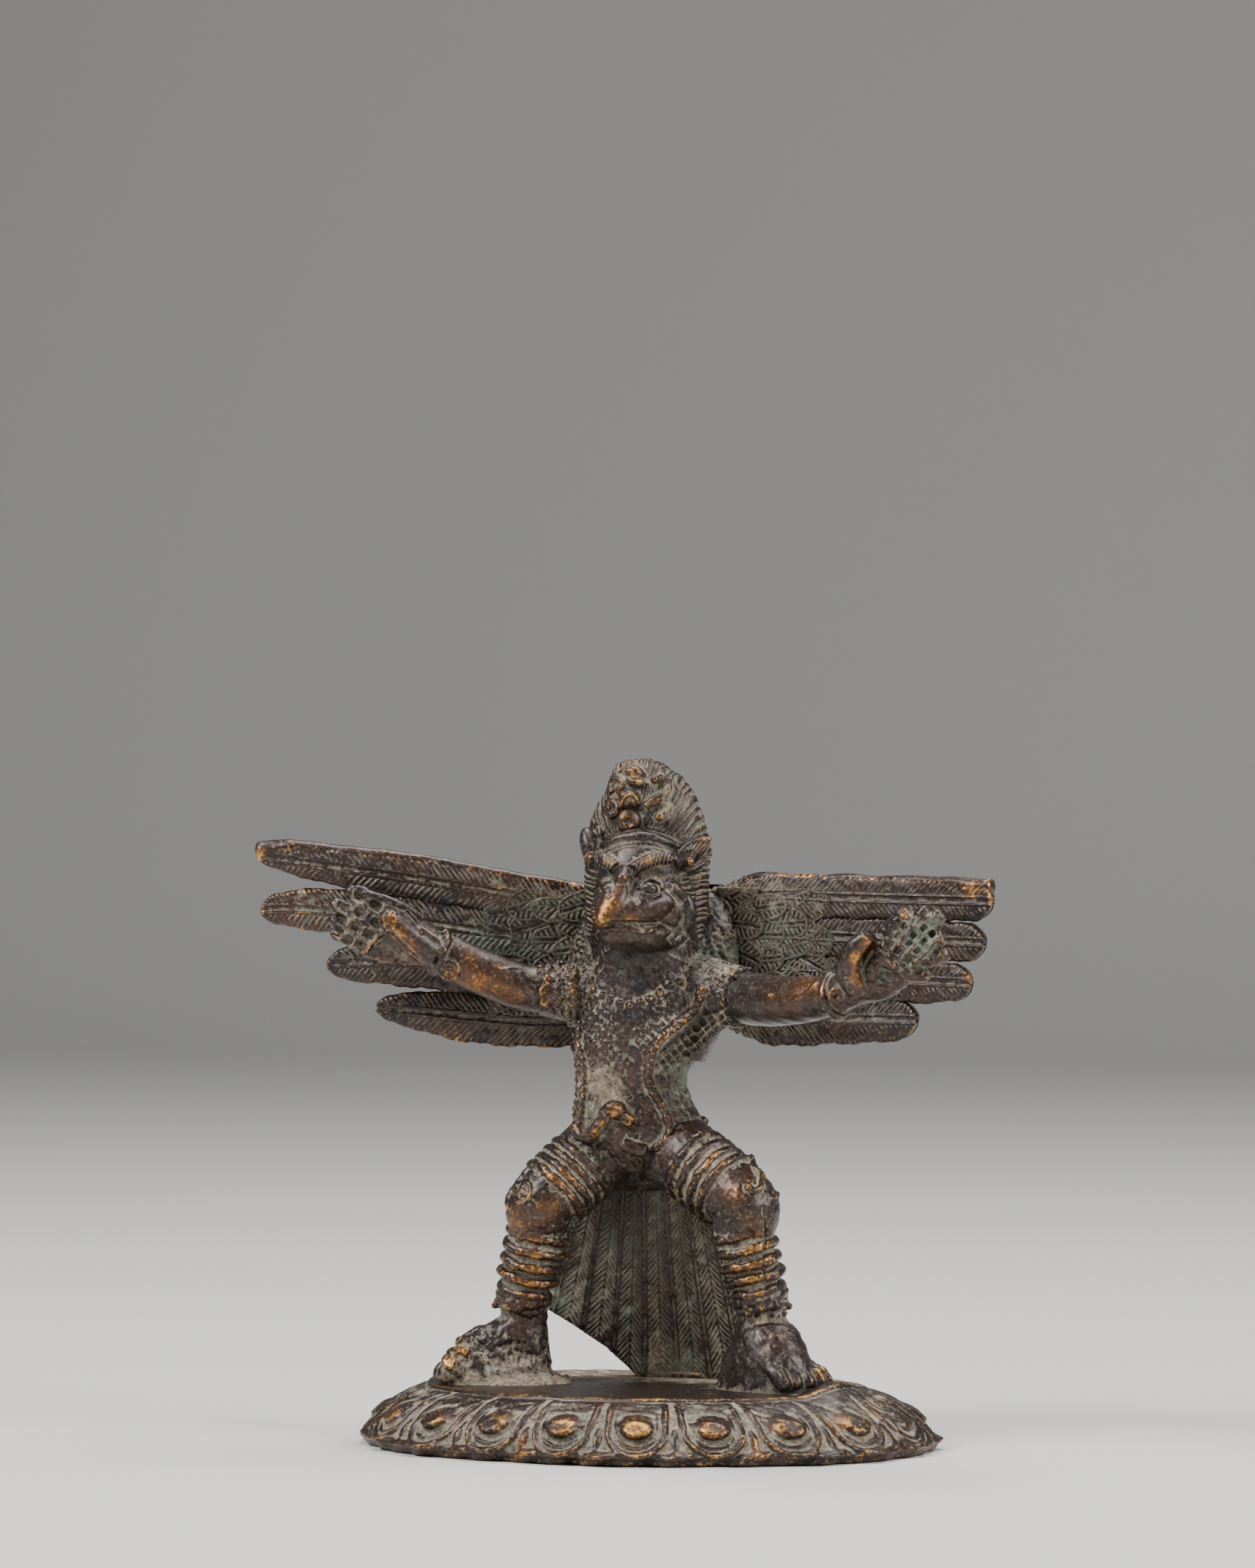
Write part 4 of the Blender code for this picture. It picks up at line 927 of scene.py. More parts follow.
def legs():
    forms = leg((-7.4, 1.0, 36.6), (-15.8, -5.4, 27.8), (-19.0, -3.2, 9.4), 3.9, 0.4)
    forms += leg((3.6, 1.0, 37.0), (17.4, -5.8, 28.6), (19.2, -3.2, 10.2), 3.9, 2.1)
    forms += foot((-14.6, -0.4, 0.0), (-31.4, -6.6, 0.0), 4.2,
                  [(-19.0, -3.2, 12.0, 3.6, 3.5), (-19.2, -3.2, 9.4, 3.9, 3.7), (-20.0, -3.6, 6.8, 5.6, 4.2),
                   (-21.2, -4.0, 4.2, 8.0, 4.6), (-21.8, -4.1, 1.6, 9.4, 4.9), (-21.8, -4.1, 0.0, 10.2, 5.4),
                   (-21.8, -4.1, -0.6, 11.4, 6.6)])
    forms += foot((12.8, -0.6, 0.0), (28.2, -8.4, 0.0), 4.8,
                  [(19.2, -3.2, 12.6, 3.6, 3.6), (19.4, -3.2, 9.8, 4.2, 4.0), (20.0, -3.8, 7.0, 6.4, 5.0),
                   (20.2, -4.2, 4.2, 8.0, 5.4), (20.4, -4.4, 1.6, 8.6, 5.6), (20.4, -4.4, 0.0, 9.2, 6.0),
                   (20.4, -4.4, -0.6, 10.0, 7.0)])
    rough = Rough(forms)
    rough.line([(735, 1601), (724, 1609), (711, 1622), (702, 1638), (695, 1660)], 0.40, 0.05)
    rough.line([(707, 1641), (710, 1630), (720, 1625), (729, 1631), (729, 1645), (720, 1654), (710, 1650)],
               0.34, 0.12)
    rough.line([(711, 1638), (717, 1632), (724, 1637), (723, 1645)], 0.28, 0.12)
    rough.bead((718, 1643), 0.40, 0.15)
    rough.line([(1030, 1588), (1048, 1592), (1062, 1608), (1068, 1632), (1064, 1650)], 0.45, 0.2)
    rough.line([(1030, 1590), (1036, 1606), (1046, 1618), (1044, 1634), (1030, 1640)], 0.48, 0.3)
    rough.bead((1028, 1633), 0.66, 0.4)
    rough.line([(614, 1868), (622, 1860), (634, 1858), (646, 1861)], 0.75, 0.2)
    rough.line([(613, 1868), (614, 1876), (622, 1880)], 0.70, 0.2)
    rough.line([(630, 1846), (645, 1836), (660, 1828)], 0.70, 0.0)
    for pixel in ((1029, 1806), (1041, 1806), (1060, 1806), (1077, 1806)):
        rough.bead(pixel, 0.60, 0.1)
    piece = rough.melt("legs", 0.22, 2)

    skin = Surface(piece)
    skin.line([(1048, 1660), (1051, 1700), (1049, 1740), (1052, 1770)], 0.35, -0.30)
    skin.dot((702, 1866), 5.0, -1.3)
    x, y, z = skin.places.T
    instep = [(620, 1840), (700, 1825), (760, 1840), (770, 1895), (610, 1895)]
    pitted = within(skin.pixels, instep, 20.0) * skin.front
    skin.rise += 0.09 * ripple(skin.places, 1.3, 16) * pitted
    skin.line([(653, 1843), (662, 1849), (668, 1858)], 0.45, -0.35)
    skin.line([(652, 1860), (662, 1860), (668, 1866)], 0.40, -0.35)
    skin.rise += 0.06 * ripple(skin.places, 2.6, 14) + 0.03 * ripple(skin.places, 0.9, 15)
    skin.press()
    low = ramp(10.0 - z + 1.2 * ripple(skin.places, 3.0, 18), 0.0, 9.0)
    skin.tan += 0.6 * low * ramp(-y, -2.0, 1.0) * (x < 0.0)
    skin.tan += 0.6 * ramp(2.0 - z, 0.0, 1.6)
    # The left leg darker lower down
    skin.shade_and_dark_tone += 0.5 * low * (x > 0.0)
    for down in (1696, 1720, 1741, 1761, 1780):
        skin.stain("gold", (728, down, 34, 0.30), (1036, down - 5, 34, 0.34))
    skin.stain("gold", (700, 1674, 34, 0.7), (756, 1662, 30, 0.75), (1010, 1640, 30, 0.6),
               (980, 1600, 26, 0.4), (1030, 1612, 20, 0.5), (718, 1641, 14, 0.5), (775, 1622, 34, 0.5),
               (615, 1872, 16, 1.2), (632, 1860, 18, 1.1), (630, 1846, 20, 0.4), (1126, 1888, 15, 1.2),
               (1120, 1850, 30, 0.5), (1145, 1885, 14, 1.0), (693, 1799, 10, 0.8), (1060, 1845, 40, 0.25))
    skin.stain("green", (1100, 1820, 40, 0.5), (1060, 1780, 40, 0.4), (672, 1829, 9, 1.6))
    skin.stain("shade_and_dark_tone", (661, 1847, 9, 1.5), (659, 1880, 9, 1.2), (715, 1805, 40, 0.5),
               (1010, 1855, 50, 0.6))
    return skin


# Wings
def right_bow(x):
    """How far back the right wing lies at x: behind the shoulder, bowed forward to the tip."""
    share = (-x - 10.0) / 52.0
    return 9.5 - 24.0 * share + 9.0 * share * share


def left_bow(x):
    share = (x - 8.0) / 48.0
    return 8.5 - 13.0 * share - 3.5 * share * share


FRONT_SHARE = 0.80


def round_the_edge(around):
    """Places across a flat form rolled up from a sheet, from -1 to 1, and its front side."""
    front = around <= FRONT_SHARE
    across = np.where(front, around / FRONT_SHARE * 2.0 - 1.0,
                      1.0 - (around - FRONT_SHARE) / (1.0 - FRONT_SHARE) * 2.0)
    return across, front


class Plume:
    """A flat form's carving: its barbs' phase and depth, for each of its points."""

    def __init__(self):
        self.strand = []
        self.depth = []


def feather(bow, stations, plume, lean=0.25, seed=1):
    """A long feather with a double-lined shaft and slanting barbs, round at the tip."""
    path = smooth_path(stations, 60)
    steps = np.hypot(np.diff(path[:, 0]), np.diff(path[:, 1]))
    travelled = np.concatenate([[0.0], np.cumsum(steps)])
    length = travelled[-1]
    rows = int(length / 0.22)

    def shape(around, along):
        across, front = round_the_edge(around)
        run = np.interp(along, [0.0, 1.0], [0.0, length])
        x = np.interp(run, travelled, path[:, 0])
        middle = np.interp(run, travelled, path[:, 1])
        half = np.interp(run, travelled, path[:, 2])
        half = half * (1.0 + 0.035 * np.sin(run * 0.9 + seed) + 0.02 * np.sin(run * 2.7 + seed * 2.0))
        tip = stations[-1][2] * 1.3
        past = np.clip((run - (length - tip)) / tip, 0.0, 1.0)
        half = half * np.sqrt(np.maximum(1.0 - past ** 2, 0.0))
        z = middle + across * half
        out = np.abs(across) * half
        flat = np.stack([x, across * 3.0, z], axis=1)
        phase = (run - out * 0.85) / 0.92 + 0.14 * ripple(flat, 6.0, seed) + 0.25 * (across > 0.0)
        barbs = ramp(out, 0.75, 1.0) * ramp(half - out, 0.10, 0.40) * ramp(half, 0.6, 1.4)
        strength = np.clip(0.85 + 0.30 * ripple(flat, 5.0, seed + 9), 0.25, 1.0)
        stroke = (0.5 - 0.5 * np.cos(math.tau * phase)) ** 2 * barbs * strength
        shaft = 0.26 * hill((out - 0.60) / 0.24) - 0.10 * hill(out / 0.45)
        roof = 0.30 * (1.0 - across * across)
        rim = 0.10 * hill((half - out - 0.12) / 0.20)
        uneven = 0.05 * ripple(flat, 2.4, seed + 3)
        relief = roof + shaft * ramp(half, 0.3, 1.0) + rim + 0.28 * stroke + uneven
        edge = 1.0 - 0.55 * np.abs(across) ** 10
        thick = WING_THICKNESS * 0.5 * edge * np.where(half < 0.02, 0.0, 1.0)
        back = 0.25 * (1.0 - across * across) + 0.18 * hill(out / 0.5) + uneven
        depth = bow(x) + lean * across
        wide = half > 0.02
        y = np.where(front, depth - thick - relief * wide, depth + thick * 0.9 + back * wide)
        plume.strand.append(phase)
        plume.depth.append(-np.where(front, barbs * strength, 0.0))
        return np.stack([x, y, z], axis=1)

    return sheet(56, rows, shape)


def coverts(bow, leaves, box, plume):
    """The short overlapping feathers near the body, carved in one patch."""
    x_from, x_to, z_low, z_high = box
    columns = int(abs(x_to - x_from) / 0.18)
    rows = int((z_high - z_low) / 0.18)

    def shape(across, along):
        x = x_from + (x_to - x_from) * across
        z = z_low + (z_high - z_low) * along
        flat = np.stack([x, np.zeros(len(x)), z], axis=1)
        relief = np.full(len(x), -2.6)
        phase = np.zeros(len(x))
        depth = np.zeros(len(x))
        for leaf_x, leaf_z, length, half, turn, level in leaves:
            local_x = (x - leaf_x) * math.cos(turn) + (z - leaf_z) * math.sin(turn)
            local_z = (z - leaf_z) * math.cos(turn) - (x - leaf_x) * math.sin(turn)
            share = local_x / length
            width = half * np.clip(1.0 - np.clip(share, 0.0, 1.0) ** 3, 0.0, 1.0) ** 0.5
            out = np.abs(local_z)
            inside = (share > -0.25) & (share < 1.0) & (out < width)
            side = np.minimum(width - out, (1.0 - share) * length)
            shaft = 0.20 * hill((out - 0.40) / 0.20) * ramp(side, 0.3, 0.7)
            rim = 0.24 * hill((side - 0.22) / 0.22)
            barbs = ramp(out, 0.60, 0.80) * ramp(side, 0.45, 0.65)
            turns = (local_x - out * 0.5) / 0.86 + 0.5 * leaf_z
            stroke = (0.5 - 0.5 * np.cos(math.tau * turns)) ** 2 * barbs
            height = level + 0.25 * share + shaft + rim + 0.18 * stroke
            relief = np.where(inside, height, relief)
            phase = np.where(inside, turns, phase)
            depth = np.where(inside, barbs, depth)
        relief += 0.05 * ripple(flat, 1.6, 21)
        edge = np.minimum(np.minimum(across, 1.0 - across) * abs(x_to - x_from),
                          np.minimum(along, 1.0 - along) * (z_high - z_low))
        fade = ramp(edge, 0.0, 0.5)
        y = bow(x) - 1.15 - relief * fade + (1.0 - fade) * 1.6
        plume.strand.append(phase)
        plume.depth.append(-depth * fade)
        return np.stack([x, y, z], axis=1)

    return sheet(columns, rows, shape)


def covert_leaves(x_first, x_last, low, high, seed):
    """Leaves in staggered rows, those nearer the body over those further out."""
    chance = np.random.default_rng(seed)
    outward = math.copysign(1.0, x_last)
    leaves = []
    count = 4
    for row in range(count, -1, -1):
        x = x_first + (x_last - x_first) * row / count
        for index in range(5):
            z = low + (high - low) * (index + 0.25 + 0.5 * (row % 2)) / 5.0
            turn = chance.uniform(-0.45, 0.45) + (0.0 if outward > 0.0 else math.pi)
            leaves.append((x - outward * chance.uniform(0.4, 2.0), z + chance.uniform(-0.5, 0.5),
                           chance.uniform(4.8, 5.8), chance.uniform(2.2, 2.7), turn,
                           0.02 + 0.10 * (count - row) + chance.uniform(0.0, 0.10)))
    return leaves


def wing(name, bow, feathers, rolled_edge, patch, leaves):
    plume = Plume()
    forms = [feather(bow, stations, plume, 0.25, index + len(name))
             for index, stations in enumerate(feathers)]
    forms.append(coverts(bow, leaves, patch, plume))
    edge = limb([(x, bow(x) + 0.1, z, radius, radius) for x, z, radius in rolled_edge], UP, 36, 50)
    places = read(edge.data)
    middle = places.mean(axis=0)
    places[:, 1:] += 0.12 * ripple(places, 5.0, 8)[:, None] * np.sign(places[:, 1:] - middle[1:]) * 0.5
    write(edge.data, places)
    plume.strand.append(np.zeros(len(edge.data.vertices)))
    plume.depth.append(np.zeros(len(edge.data.vertices)))
    forms.append(edge)
    return flat_piece(name, forms, plume)


def flat_piece(name, forms, plume):
    """Join flat forms into one piece, close their seams and keep their barbs' phase."""
    for form, strand, depth in zip(forms, plume.strand, plume.depth):
        for label, values in (("strand", strand), ("strand_depth", depth)):
            layer = form.data.attributes.new(label, "FLOAT", "POINT")
            layer.data.foreach_set("value", values.astype(np.float32))
    choose(*forms)
    bpy.ops.object.join()
    piece = bpy.context.object
    piece.name = name
    close_seams()
    skin = Surface(piece)
    for label in ("strand", "strand_depth"):
        values = np.empty(len(piece.data.vertices), np.float32)
        piece.data.attributes[label].data.foreach_get("value", values)
        setattr(skin, label, values.astype(float))
    return skin


def close_seams():
    bpy.ops.object.mode_set(mode="EDIT")
    bpy.ops.mesh.select_all(action="SELECT")
    bpy.ops.mesh.remove_doubles(threshold=0.004)
    bpy.ops.mesh.normals_make_consistent(inside=False)
    bpy.ops.object.mode_set(mode="OBJECT")


def right_wing():
    feathers = (
        [(-9.0, 73.6, 3.4), (-24.0, 76.2, 3.3), (-38.0, 78.6, 3.4), (-53.0, 80.8, 2.7), (-61.8, 82.1, 1.3)],
        [(-9.0, 67.8, 3.8), (-24.0, 69.8, 4.0), (-38.0, 71.8, 4.2), (-53.0, 73.6, 3.4), (-61.4, 73.6, 2.1)],
        [(-9.0, 61.8, 3.8), (-24.0, 63.6, 4.0), (-38.0, 65.4, 4.0), (-46.0, 65.3, 3.1), (-51.0, 65.0, 1.9)],
        [(-9.0, 56.0, 3.8), (-20.0, 56.0, 4.0), (-30.0, 56.9, 4.1), (-38.0, 57.8, 2.9), (-43.4, 58.3, 1.7)])
    edge = [(-10.0, 76.2, 1.0), (-24.0, 78.8, 1.0), (-38.0, 81.4, 1.0), (-53.0, 83.0, 1.2),
            (-59.0, 83.2, 1.4), (-60.9, 82.8, 1.7), (-61.9, 82.6, 1.5), (-62.4, 82.5, 0.6)]
    skin = wing("right_wing", right_bow, feathers, edge, (-8.0, -27.5, 56.0, 77.4),
                covert_leaves(-9.0, -23.0, 57.0, 76.0, 4))
    x, _, z = skin.places.T
    skin.shade_and_dark_tone += 0.35 * ramp(-x, 24.0, 30.0) - 0.2 * ramp(x, -24.0, -18.0)
    skin.green += 0.5 * hill((z - 67.0) / 3.5) * ramp(x, -40.0, -26.0)
    skin.gold += 0.35 * hill((z - 76.5) / 2.5) * hill((x + 22.0) / 10.0)
    skin.stain("gold", (354, 1176, 16, 0.9), (420, 1260, 60, 0.2), (620, 1430, 40, 0.4))
    skin.stain("green", (660, 1290, 60, 0.7), (440, 1250, 60, 0.5))
    skin.stain("tan", (740, 1270, 70, 0.5))
    return skin


def left_wing():
    feathers = (
        [(7.0, 73.6, 3.2), (18.0, 76.0, 3.4), (30.0, 75.8, 3.4), (44.0, 75.6, 3.3), (57.2, 75.5, 3.0)],
        [(7.0, 68.6, 3.4), (18.0, 70.0, 3.4), (30.0, 69.7, 3.4), (44.0, 69.4, 3.4), (55.9, 69.2, 2.8)],
        [(7.0, 62.8, 3.4), (18.0, 63.8, 3.6), (30.0, 63.6, 3.6), (44.0, 63.2, 3.5), (53.6, 63.0, 2.6)],
        [(9.0, 58.4, 2.2), (18.0, 57.0, 4.2), (30.0, 57.0, 3.9), (38.0, 57.2, 3.6), (44.2, 57.2, 2.8)])
    edge = [(8.0, 75.0, 0.8), (13.0, 77.6, 0.8), (18.0, 78.9, 0.8), (24.0, 77.9, 0.8), (30.0, 78.7, 0.8),
            (37.0, 78.5, 0.7), (44.0, 78.5, 0.8), (56.6, 77.6, 1.2)]
    skin = wing("left_wing", left_bow, feathers, edge, (7.0, 31.0, 56.0, 77.6),
                covert_leaves(9.0, 26.0, 57.0, 76.6, 9))
    x, _, z = skin.places.T
    skin.shade_and_dark_tone += 0.35 * ramp(x, 26.0, 32.0) - 0.3 * ramp(-x, -26.0, -20.0)
    crust = ramp(-x, -17.0, -11.0) + 0.6 * hill((z - 60.0) / 4.0) * ramp(-x, -26.0, -20.0)
    crust = crust.clip(0.0, 1.0) * skin.front
    skin.rise += 0.22 * ripple(skin.places, 1.1, 17) * crust
    skin.press()
    skin.tan += 0.7 * crust
    skin.green += 0.5 * crust
    skin.stain("gold", (1336, 1225, 20, 0.9), (1331, 1341, 12, 0.8))
    skin.stain("green", (1010, 1260, 60, 0.8), (1280, 1290, 60, 0.3))
    skin.stain("tan", (1050, 1260, 60, 0.5))
    return skin


# The tail
TAIL_RIBS = 8


def tail():
    """A concave fan of double-lined ribs with herringbone barbs, behind the legs."""
    plume = Plume()
    pivot_height = 75.0
    first_reach = 38.0
    spread = math.radians(16.6)

    def shape(around, along):
        across, front = round_the_edge(around)
        down = np.clip((along - 0.02) / 0.96, 0.0, 1.0)
        angle = across * spread
        end = np.interp(-1.0 + 70.0 * np.tan(angle), [-21.0, -14.8, -9.5, -6.6, -4.6, 9.0, 12.0, 17.0, 20.0],
                        [11.4, 7.9, 4.5, 1.9, 0.0, 0.0, 2.4, 6.4, 11.0])
        reach = (first_reach + (37.2 - end) * down) / np.cos(angle)
        x = -1.0 + reach * np.sin(angle)
        z = pivot_height - reach * np.cos(angle)
        depth = 8.6 + down * (5.6 * (1.0 - across * across) - 0.6)
        rib_width = 2.0 * spread * reach / TAIL_RIBS
        rib = (across + 1.0) / 2.0 * TAIL_RIBS
        out = (np.abs(rib % 1.0 - 0.5)) * rib_width
        flat = np.stack([x, across * 4.0, z], axis=1)
        phase = (reach - first_reach + out * 1.25) / 1.05 + 0.12 * ripple(flat, 5.0, 41)
        combs = np.clip(0.9 + 0.25 * ripple(flat, 5.0, 42), 0.2, 1.0) * ramp(across, -0.96, -0.72)
        barbs = ramp(out, 0.40, 0.60) * ramp(rib_width * 0.5 - out, 0.10, 0.35) * ramp(reach, 38.5, 42.0)
        barbs = barbs * combs
        stroke = (0.5 - 0.5 * np.cos(math.tau * phase)) ** 2
        shaft = 0.34 * hill((out - 0.34) / 0.20) * ramp(across, -0.98, -0.8)
        seam = 0.18 * hill((rib_width * 0.5 - out) / 0.22)
        relief = 0.20 * hill(out / rib_width / 0.55) + shaft + seam + 0.26 * stroke * barbs
        relief = relief + 0.05 * ripple(flat, 2.4, 43)
        thick = TAIL_THICKNESS * 0.5 * (1.0 - 0.5 * np.abs(across) ** 12)
        flat_end = np.minimum(along, 1.0 - along) < 0.01
        thick = np.where(flat_end, 0.0, thick)
        relief = np.where(flat_end, 0.0, relief)
        back = 0.3 * hill(out / rib_width / 0.5)
        y = np.where(front, depth - thick - relief, depth + thick + np.where(flat_end, 0.0, back))
        plume.strand.append(phase)
        plume.depth.append(-np.where(front, barbs, 0.0))
        return np.stack([x, y, z], axis=1)

    fan = sheet(190, 190, shape)
    fillet = limb([(-5.4, 13.4, 0.0, 1.2, 1.3), (2.5, 13.6, 0.2, 1.6, 2.0), (10.4, 12.6, 0.0, 1.2, 1.2)],
                  UP, 16, 12)
    plume.strand.append(np.zeros(len(fillet.data.vertices)))
    plume.depth.append(np.zeros(len(fillet.data.vertices)))
    skin = flat_piece("tail", [fan, fillet], plume)
    skin.green += 0.3
    skin.stain("green", (850, 1700, 60, 0.3), (760, 1790, 60, 0.7))
    skin.stain("tan", (740, 1770, 50, 0.5), (910, 1880, 60, 0.9))
    skin.stain("gold", (900, 1790, 60, 0.2))
    # Painted shade where the tail runs under the body
    skin.stain("shade_and_dark_tone", (850, 1660, 60, 0.8))
    return skin


# The lotus base
def even_angles(half_width, half_depth, count):
    """Angles that divide an ellipse into stretches of equal length, from the front middle."""
    fine = -math.pi / 2.0 + math.tau * (np.arange(7200) + 0.5) / 7200
    steps = np.hypot(half_width * np.sin(fine), half_depth * np.cos(fine))
    travelled = np.concatenate([[0.0], np.cumsum(steps)])
    wanted = travelled[-1] * np.arange(count + 1) / count
    return -math.pi / 2.0 + math.tau * np.interp(wanted, travelled, np.arange(7201)) / 7200


def petal_relief(across, down, wobble):
    """Height over the plain skirt, across a petal from -1 to 1 and down from 0 to 1."""
    boss = hill(np.hypot(across / 0.64, (down - 0.54) / 0.23))
    boss = 1.9 * np.minimum(boss * 1.6, 1.0) ** 0.8
    arms = np.abs(across) / (0.74 + 0.22 * np.maximum(0.6 - down, 0.0))
    bowl = np.hypot(across / 0.74, (down - 0.60) / 0.33)
    outline = np.where(down < 0.60, arms, bowl)
    edge = hill((outline - 1.0) / 0.17) + 0.6 * hill((outline - 0.73) / 0.09) * ramp(down, 0.25, 0.5)
    edge = edge * ramp(down, 0.04, 0.25)
    side = 1.0 - np.abs(across)
    gap = hill(side / 0.22) * hill((down - 0.2) / 0.5)
    leaf = hill(side / 0.15) * hill((down - 0.74) / 0.26)
    vein = 0.5 * hill(side / 0.05) * hill((down - 0.76) / 0.20)
    lip = 0.6 * hill((down - 0.95) / 0.09) * (1.0 + wobble * 1.4)
    lines = 0.9 * edge + 0.9 * leaf - vein - 0.6 * gap
    return boss + lines + lip + (0.20 + 0.35 * ramp(down, 0.7, 0.95)) * wobble - 0.3 * ramp(down, 0.98, 1.0)


def lotus_base():
    per_petal = 30
    columns = PETALS * per_petal
    angles = even_angles(*RIM_HALF, columns)
    # The last row of the plate's top, its edge, the petals, the rim's foot, the hollow's wall and roof
    top_end = 12.0
    edge_end = 18.0
    petals_end = 70.0
    foot_end = 74.0
    wall_end = 78.0
    profile_rows = 82

    def shape(around, along):
        row = along * profile_rows
        index = np.rint(around * columns).astype(int)
        angle = angles[index]
        way_x = np.cos(angle)
        way_y = np.sin(angle)
        place = index / per_petal
        across = ((place - PETAL_TURN + 0.5) % 1.0) * 2.0 - 1.0
        turn = math.tau * place / PETALS
        wobble = np.sin(turn * 7.0 + 1.0) * 0.5 + np.sin(turn * 23.0) * 0.35
        wobble = wobble + np.sin(turn * 41.0 + along * 30.0) * 0.3
        # Down the profile: plate, its edge, skirt with petals, rim's foot and the hollow
        top = np.clip(row / top_end, 0.0, 1.0) ** 0.7
        edge = np.clip((row - top_end) / (edge_end - top_end), 0.0, 1.0)
        down = np.clip((row - edge_end) / (petals_end - edge_end), 0.0, 1.0)
        under = np.clip((row - petals_end) / (foot_end - petals_end), 0.0, 1.0)
        wall = np.clip((row - foot_end) / (wall_end - foot_end), 0.0, 1.0)
        ceiling = np.clip((row - wall_end) / (profile_rows - wall_end), 0.0, 1.0)
        out = 1.0 - (1.0 - down) ** 1.35
        half_x = PLATE_HALF[0] * (1.0 - out) + RIM_HALF[0] * out
        half_y = PLATE_HALF[1] * (1.0 - out) + RIM_HALF[1] * out
        height = PLATE_HEIGHT * (0.94 - 0.85 * down ** 1.45)
        on_top = row <= top_end
        on_edge = (row > top_end) & (row <= edge_end)
        half_x = np.where(on_top, PLATE_HALF[0] * 0.972 * top, half_x)
        half_y = np.where(on_top, PLATE_HALF[1] * 0.972 * top, half_y)
        height = np.where(on_top, PLATE_HEIGHT, height)
        bulge = 0.972 + 0.028 * np.sin(0.5 * math.pi * edge)
        half_x = np.where(on_edge, PLATE_HALF[0] * bulge, half_x)
        half_y = np.where(on_edge, PLATE_HALF[1] * bulge, half_y)
        height = np.where(on_edge, PLATE_HEIGHT * (1.0 - 0.06 * edge ** 1.6), height)
        relief = np.where((row > edge_end) & (row <= foot_end), petal_relief(across, down, wobble), 0.0)
        relief = relief * ramp(row, edge_end, edge_end + 3.0) * (1.0 - 0.45 * np.abs(way_x) ** 6)
        below = row > petals_end
        foot = PLATE_HEIGHT * 0.09 * (1.0 - under)
        height = np.where(below, foot, height)
        tuck = 0.5 * under
        wide_x = RIM_HALF[0] - RIM_WALL
        wide_y = RIM_HALF[1] - RIM_WALL
        narrow_x = PLATE_HALF[0] - HOLLOW_INSET
        narrow_y = PLATE_HALF[1] - HOLLOW_INSET
        inner = row > foot_end
        half_x = np.where(below & ~inner, RIM_HALF[0] - tuck, half_x)
        half_y = np.where(below & ~inner, RIM_HALF[1] - tuck, half_y)
        roof = PLATE_HEIGHT - PLATE_THICKNESS
        inside_x = wide_x + (narrow_x - wide_x) * wall
        inside_y = wide_y + (narrow_y - wide_y) * wall
        half_x = np.where(inner, inside_x * (1.0 - ceiling), half_x)
        half_y = np.where(inner, inside_y * (1.0 - ceiling), half_y)
        height = np.where(inner, roof * wall, height)
        relief = np.where(inner, 0.0, relief)
        length = np.hypot(half_x * way_x, half_y * way_y) + 1e-9
        grown = 1.0 + relief / length
        x = half_x * way_x * grown
        y = half_y * way_y * grown
        lump = 1.7 * hill(np.hypot((x - 31.5) / 7.0, (y + 6.0) / 9.0))
        lump = lump + 0.5 * hill(np.hypot((x + 33.0) / 5.0, (y + 2.0) / 7.0))
        flat = np.stack([x * 0.4, y * 2.0, x * 0.0], axis=1)
        uneven = lump + 0.05 * ripple(flat, 3.0, 30) * ramp(row, 1.0, 4.0)
        height = height + np.where(row <= 60.0, uneven, 0.0)
        return np.stack([x, y, height - PLATE_HEIGHT], axis=1)

    piece = sheet(columns, profile_rows, shape)
    piece.name = "lotus_base"
    close_seams()
    skin = Surface(piece)
    x, y, z = skin.places.T
    top = ramp(z, -0.25, -0.05) * ramp(skin.normals[:, 2], 0.5, 0.9)
    rim = np.hypot(x / PLATE_HALF[0], y / PLATE_HALF[1])
    patches = 0.6 + 0.5 * ripple(skin.places, 9.0, 31)
    skin.gold += 0.75 * hill((rim - 0.980) / 0.013) * ramp(z, -0.6, -0.2) * ramp(-y, 4.0, 12.0) * patches
    skin.shade_and_dark_tone += 0.5 * hill((rim - 0.995) / 0.02) * ramp(-z, 0.1, 0.4)
    skin.shade_and_dark_tone += 0.5 * top * ramp(-y, -6.0, 4.0)
    skin.tan += 0.9 * top * ramp(y, -4.0, 8.0)
    for foot_x, foot_y in ((-19.0, -3.0), (-27.0, -6.0), (16.0, -2.0), (26.0, -5.0)):
        skin.tan += 0.8 * top * hill(np.hypot(x - foot_x, y - foot_y) / 9.0)
    skin.tan += 0.5 * hill((rim - 1.05) / 0.07) * ramp(-z, 0.7, 1.2)
    # Painted shade along the foot of the base, by the floor
    skin.shade_and_dark_tone += 0.8 * ramp(-z, 7.0, 9.0)
    skin.stain("gold", (539, 1944, 24, 0.5), (612, 1957, 24, 0.4), (694, 1950, 24, 0.5),
               (776, 1957, 24, 0.5), (876, 1961, 24, 1.1), (972, 1971, 24, 0.7), (1065, 1968, 24, 0.7),
               (1153, 1956, 24, 0.9), (1201, 1937, 24, 0.6), (717, 1987, 24, 0.7), (870, 1992, 24, 0.6),
               (1040, 1990, 24, 0.6))
    skin.stain("green", (1160, 1900, 60, 0.8), (960, 1925, 50, 0.6), (760, 1925, 50, 0.4))
    skin.stain("tan", (560, 1935, 120, 0.35))
    return skin


# The bronze's finish
def srgb(red, green, blue):
    """A colour as a screen shows it, from 0 to 255, as light."""
    return tuple((value / 255.0 / 12.92) if value < 10.3 else ((value / 255.0 + 0.055) / 1.055) ** 2.4
                 for value in (red, green, blue)) + (1.0,)


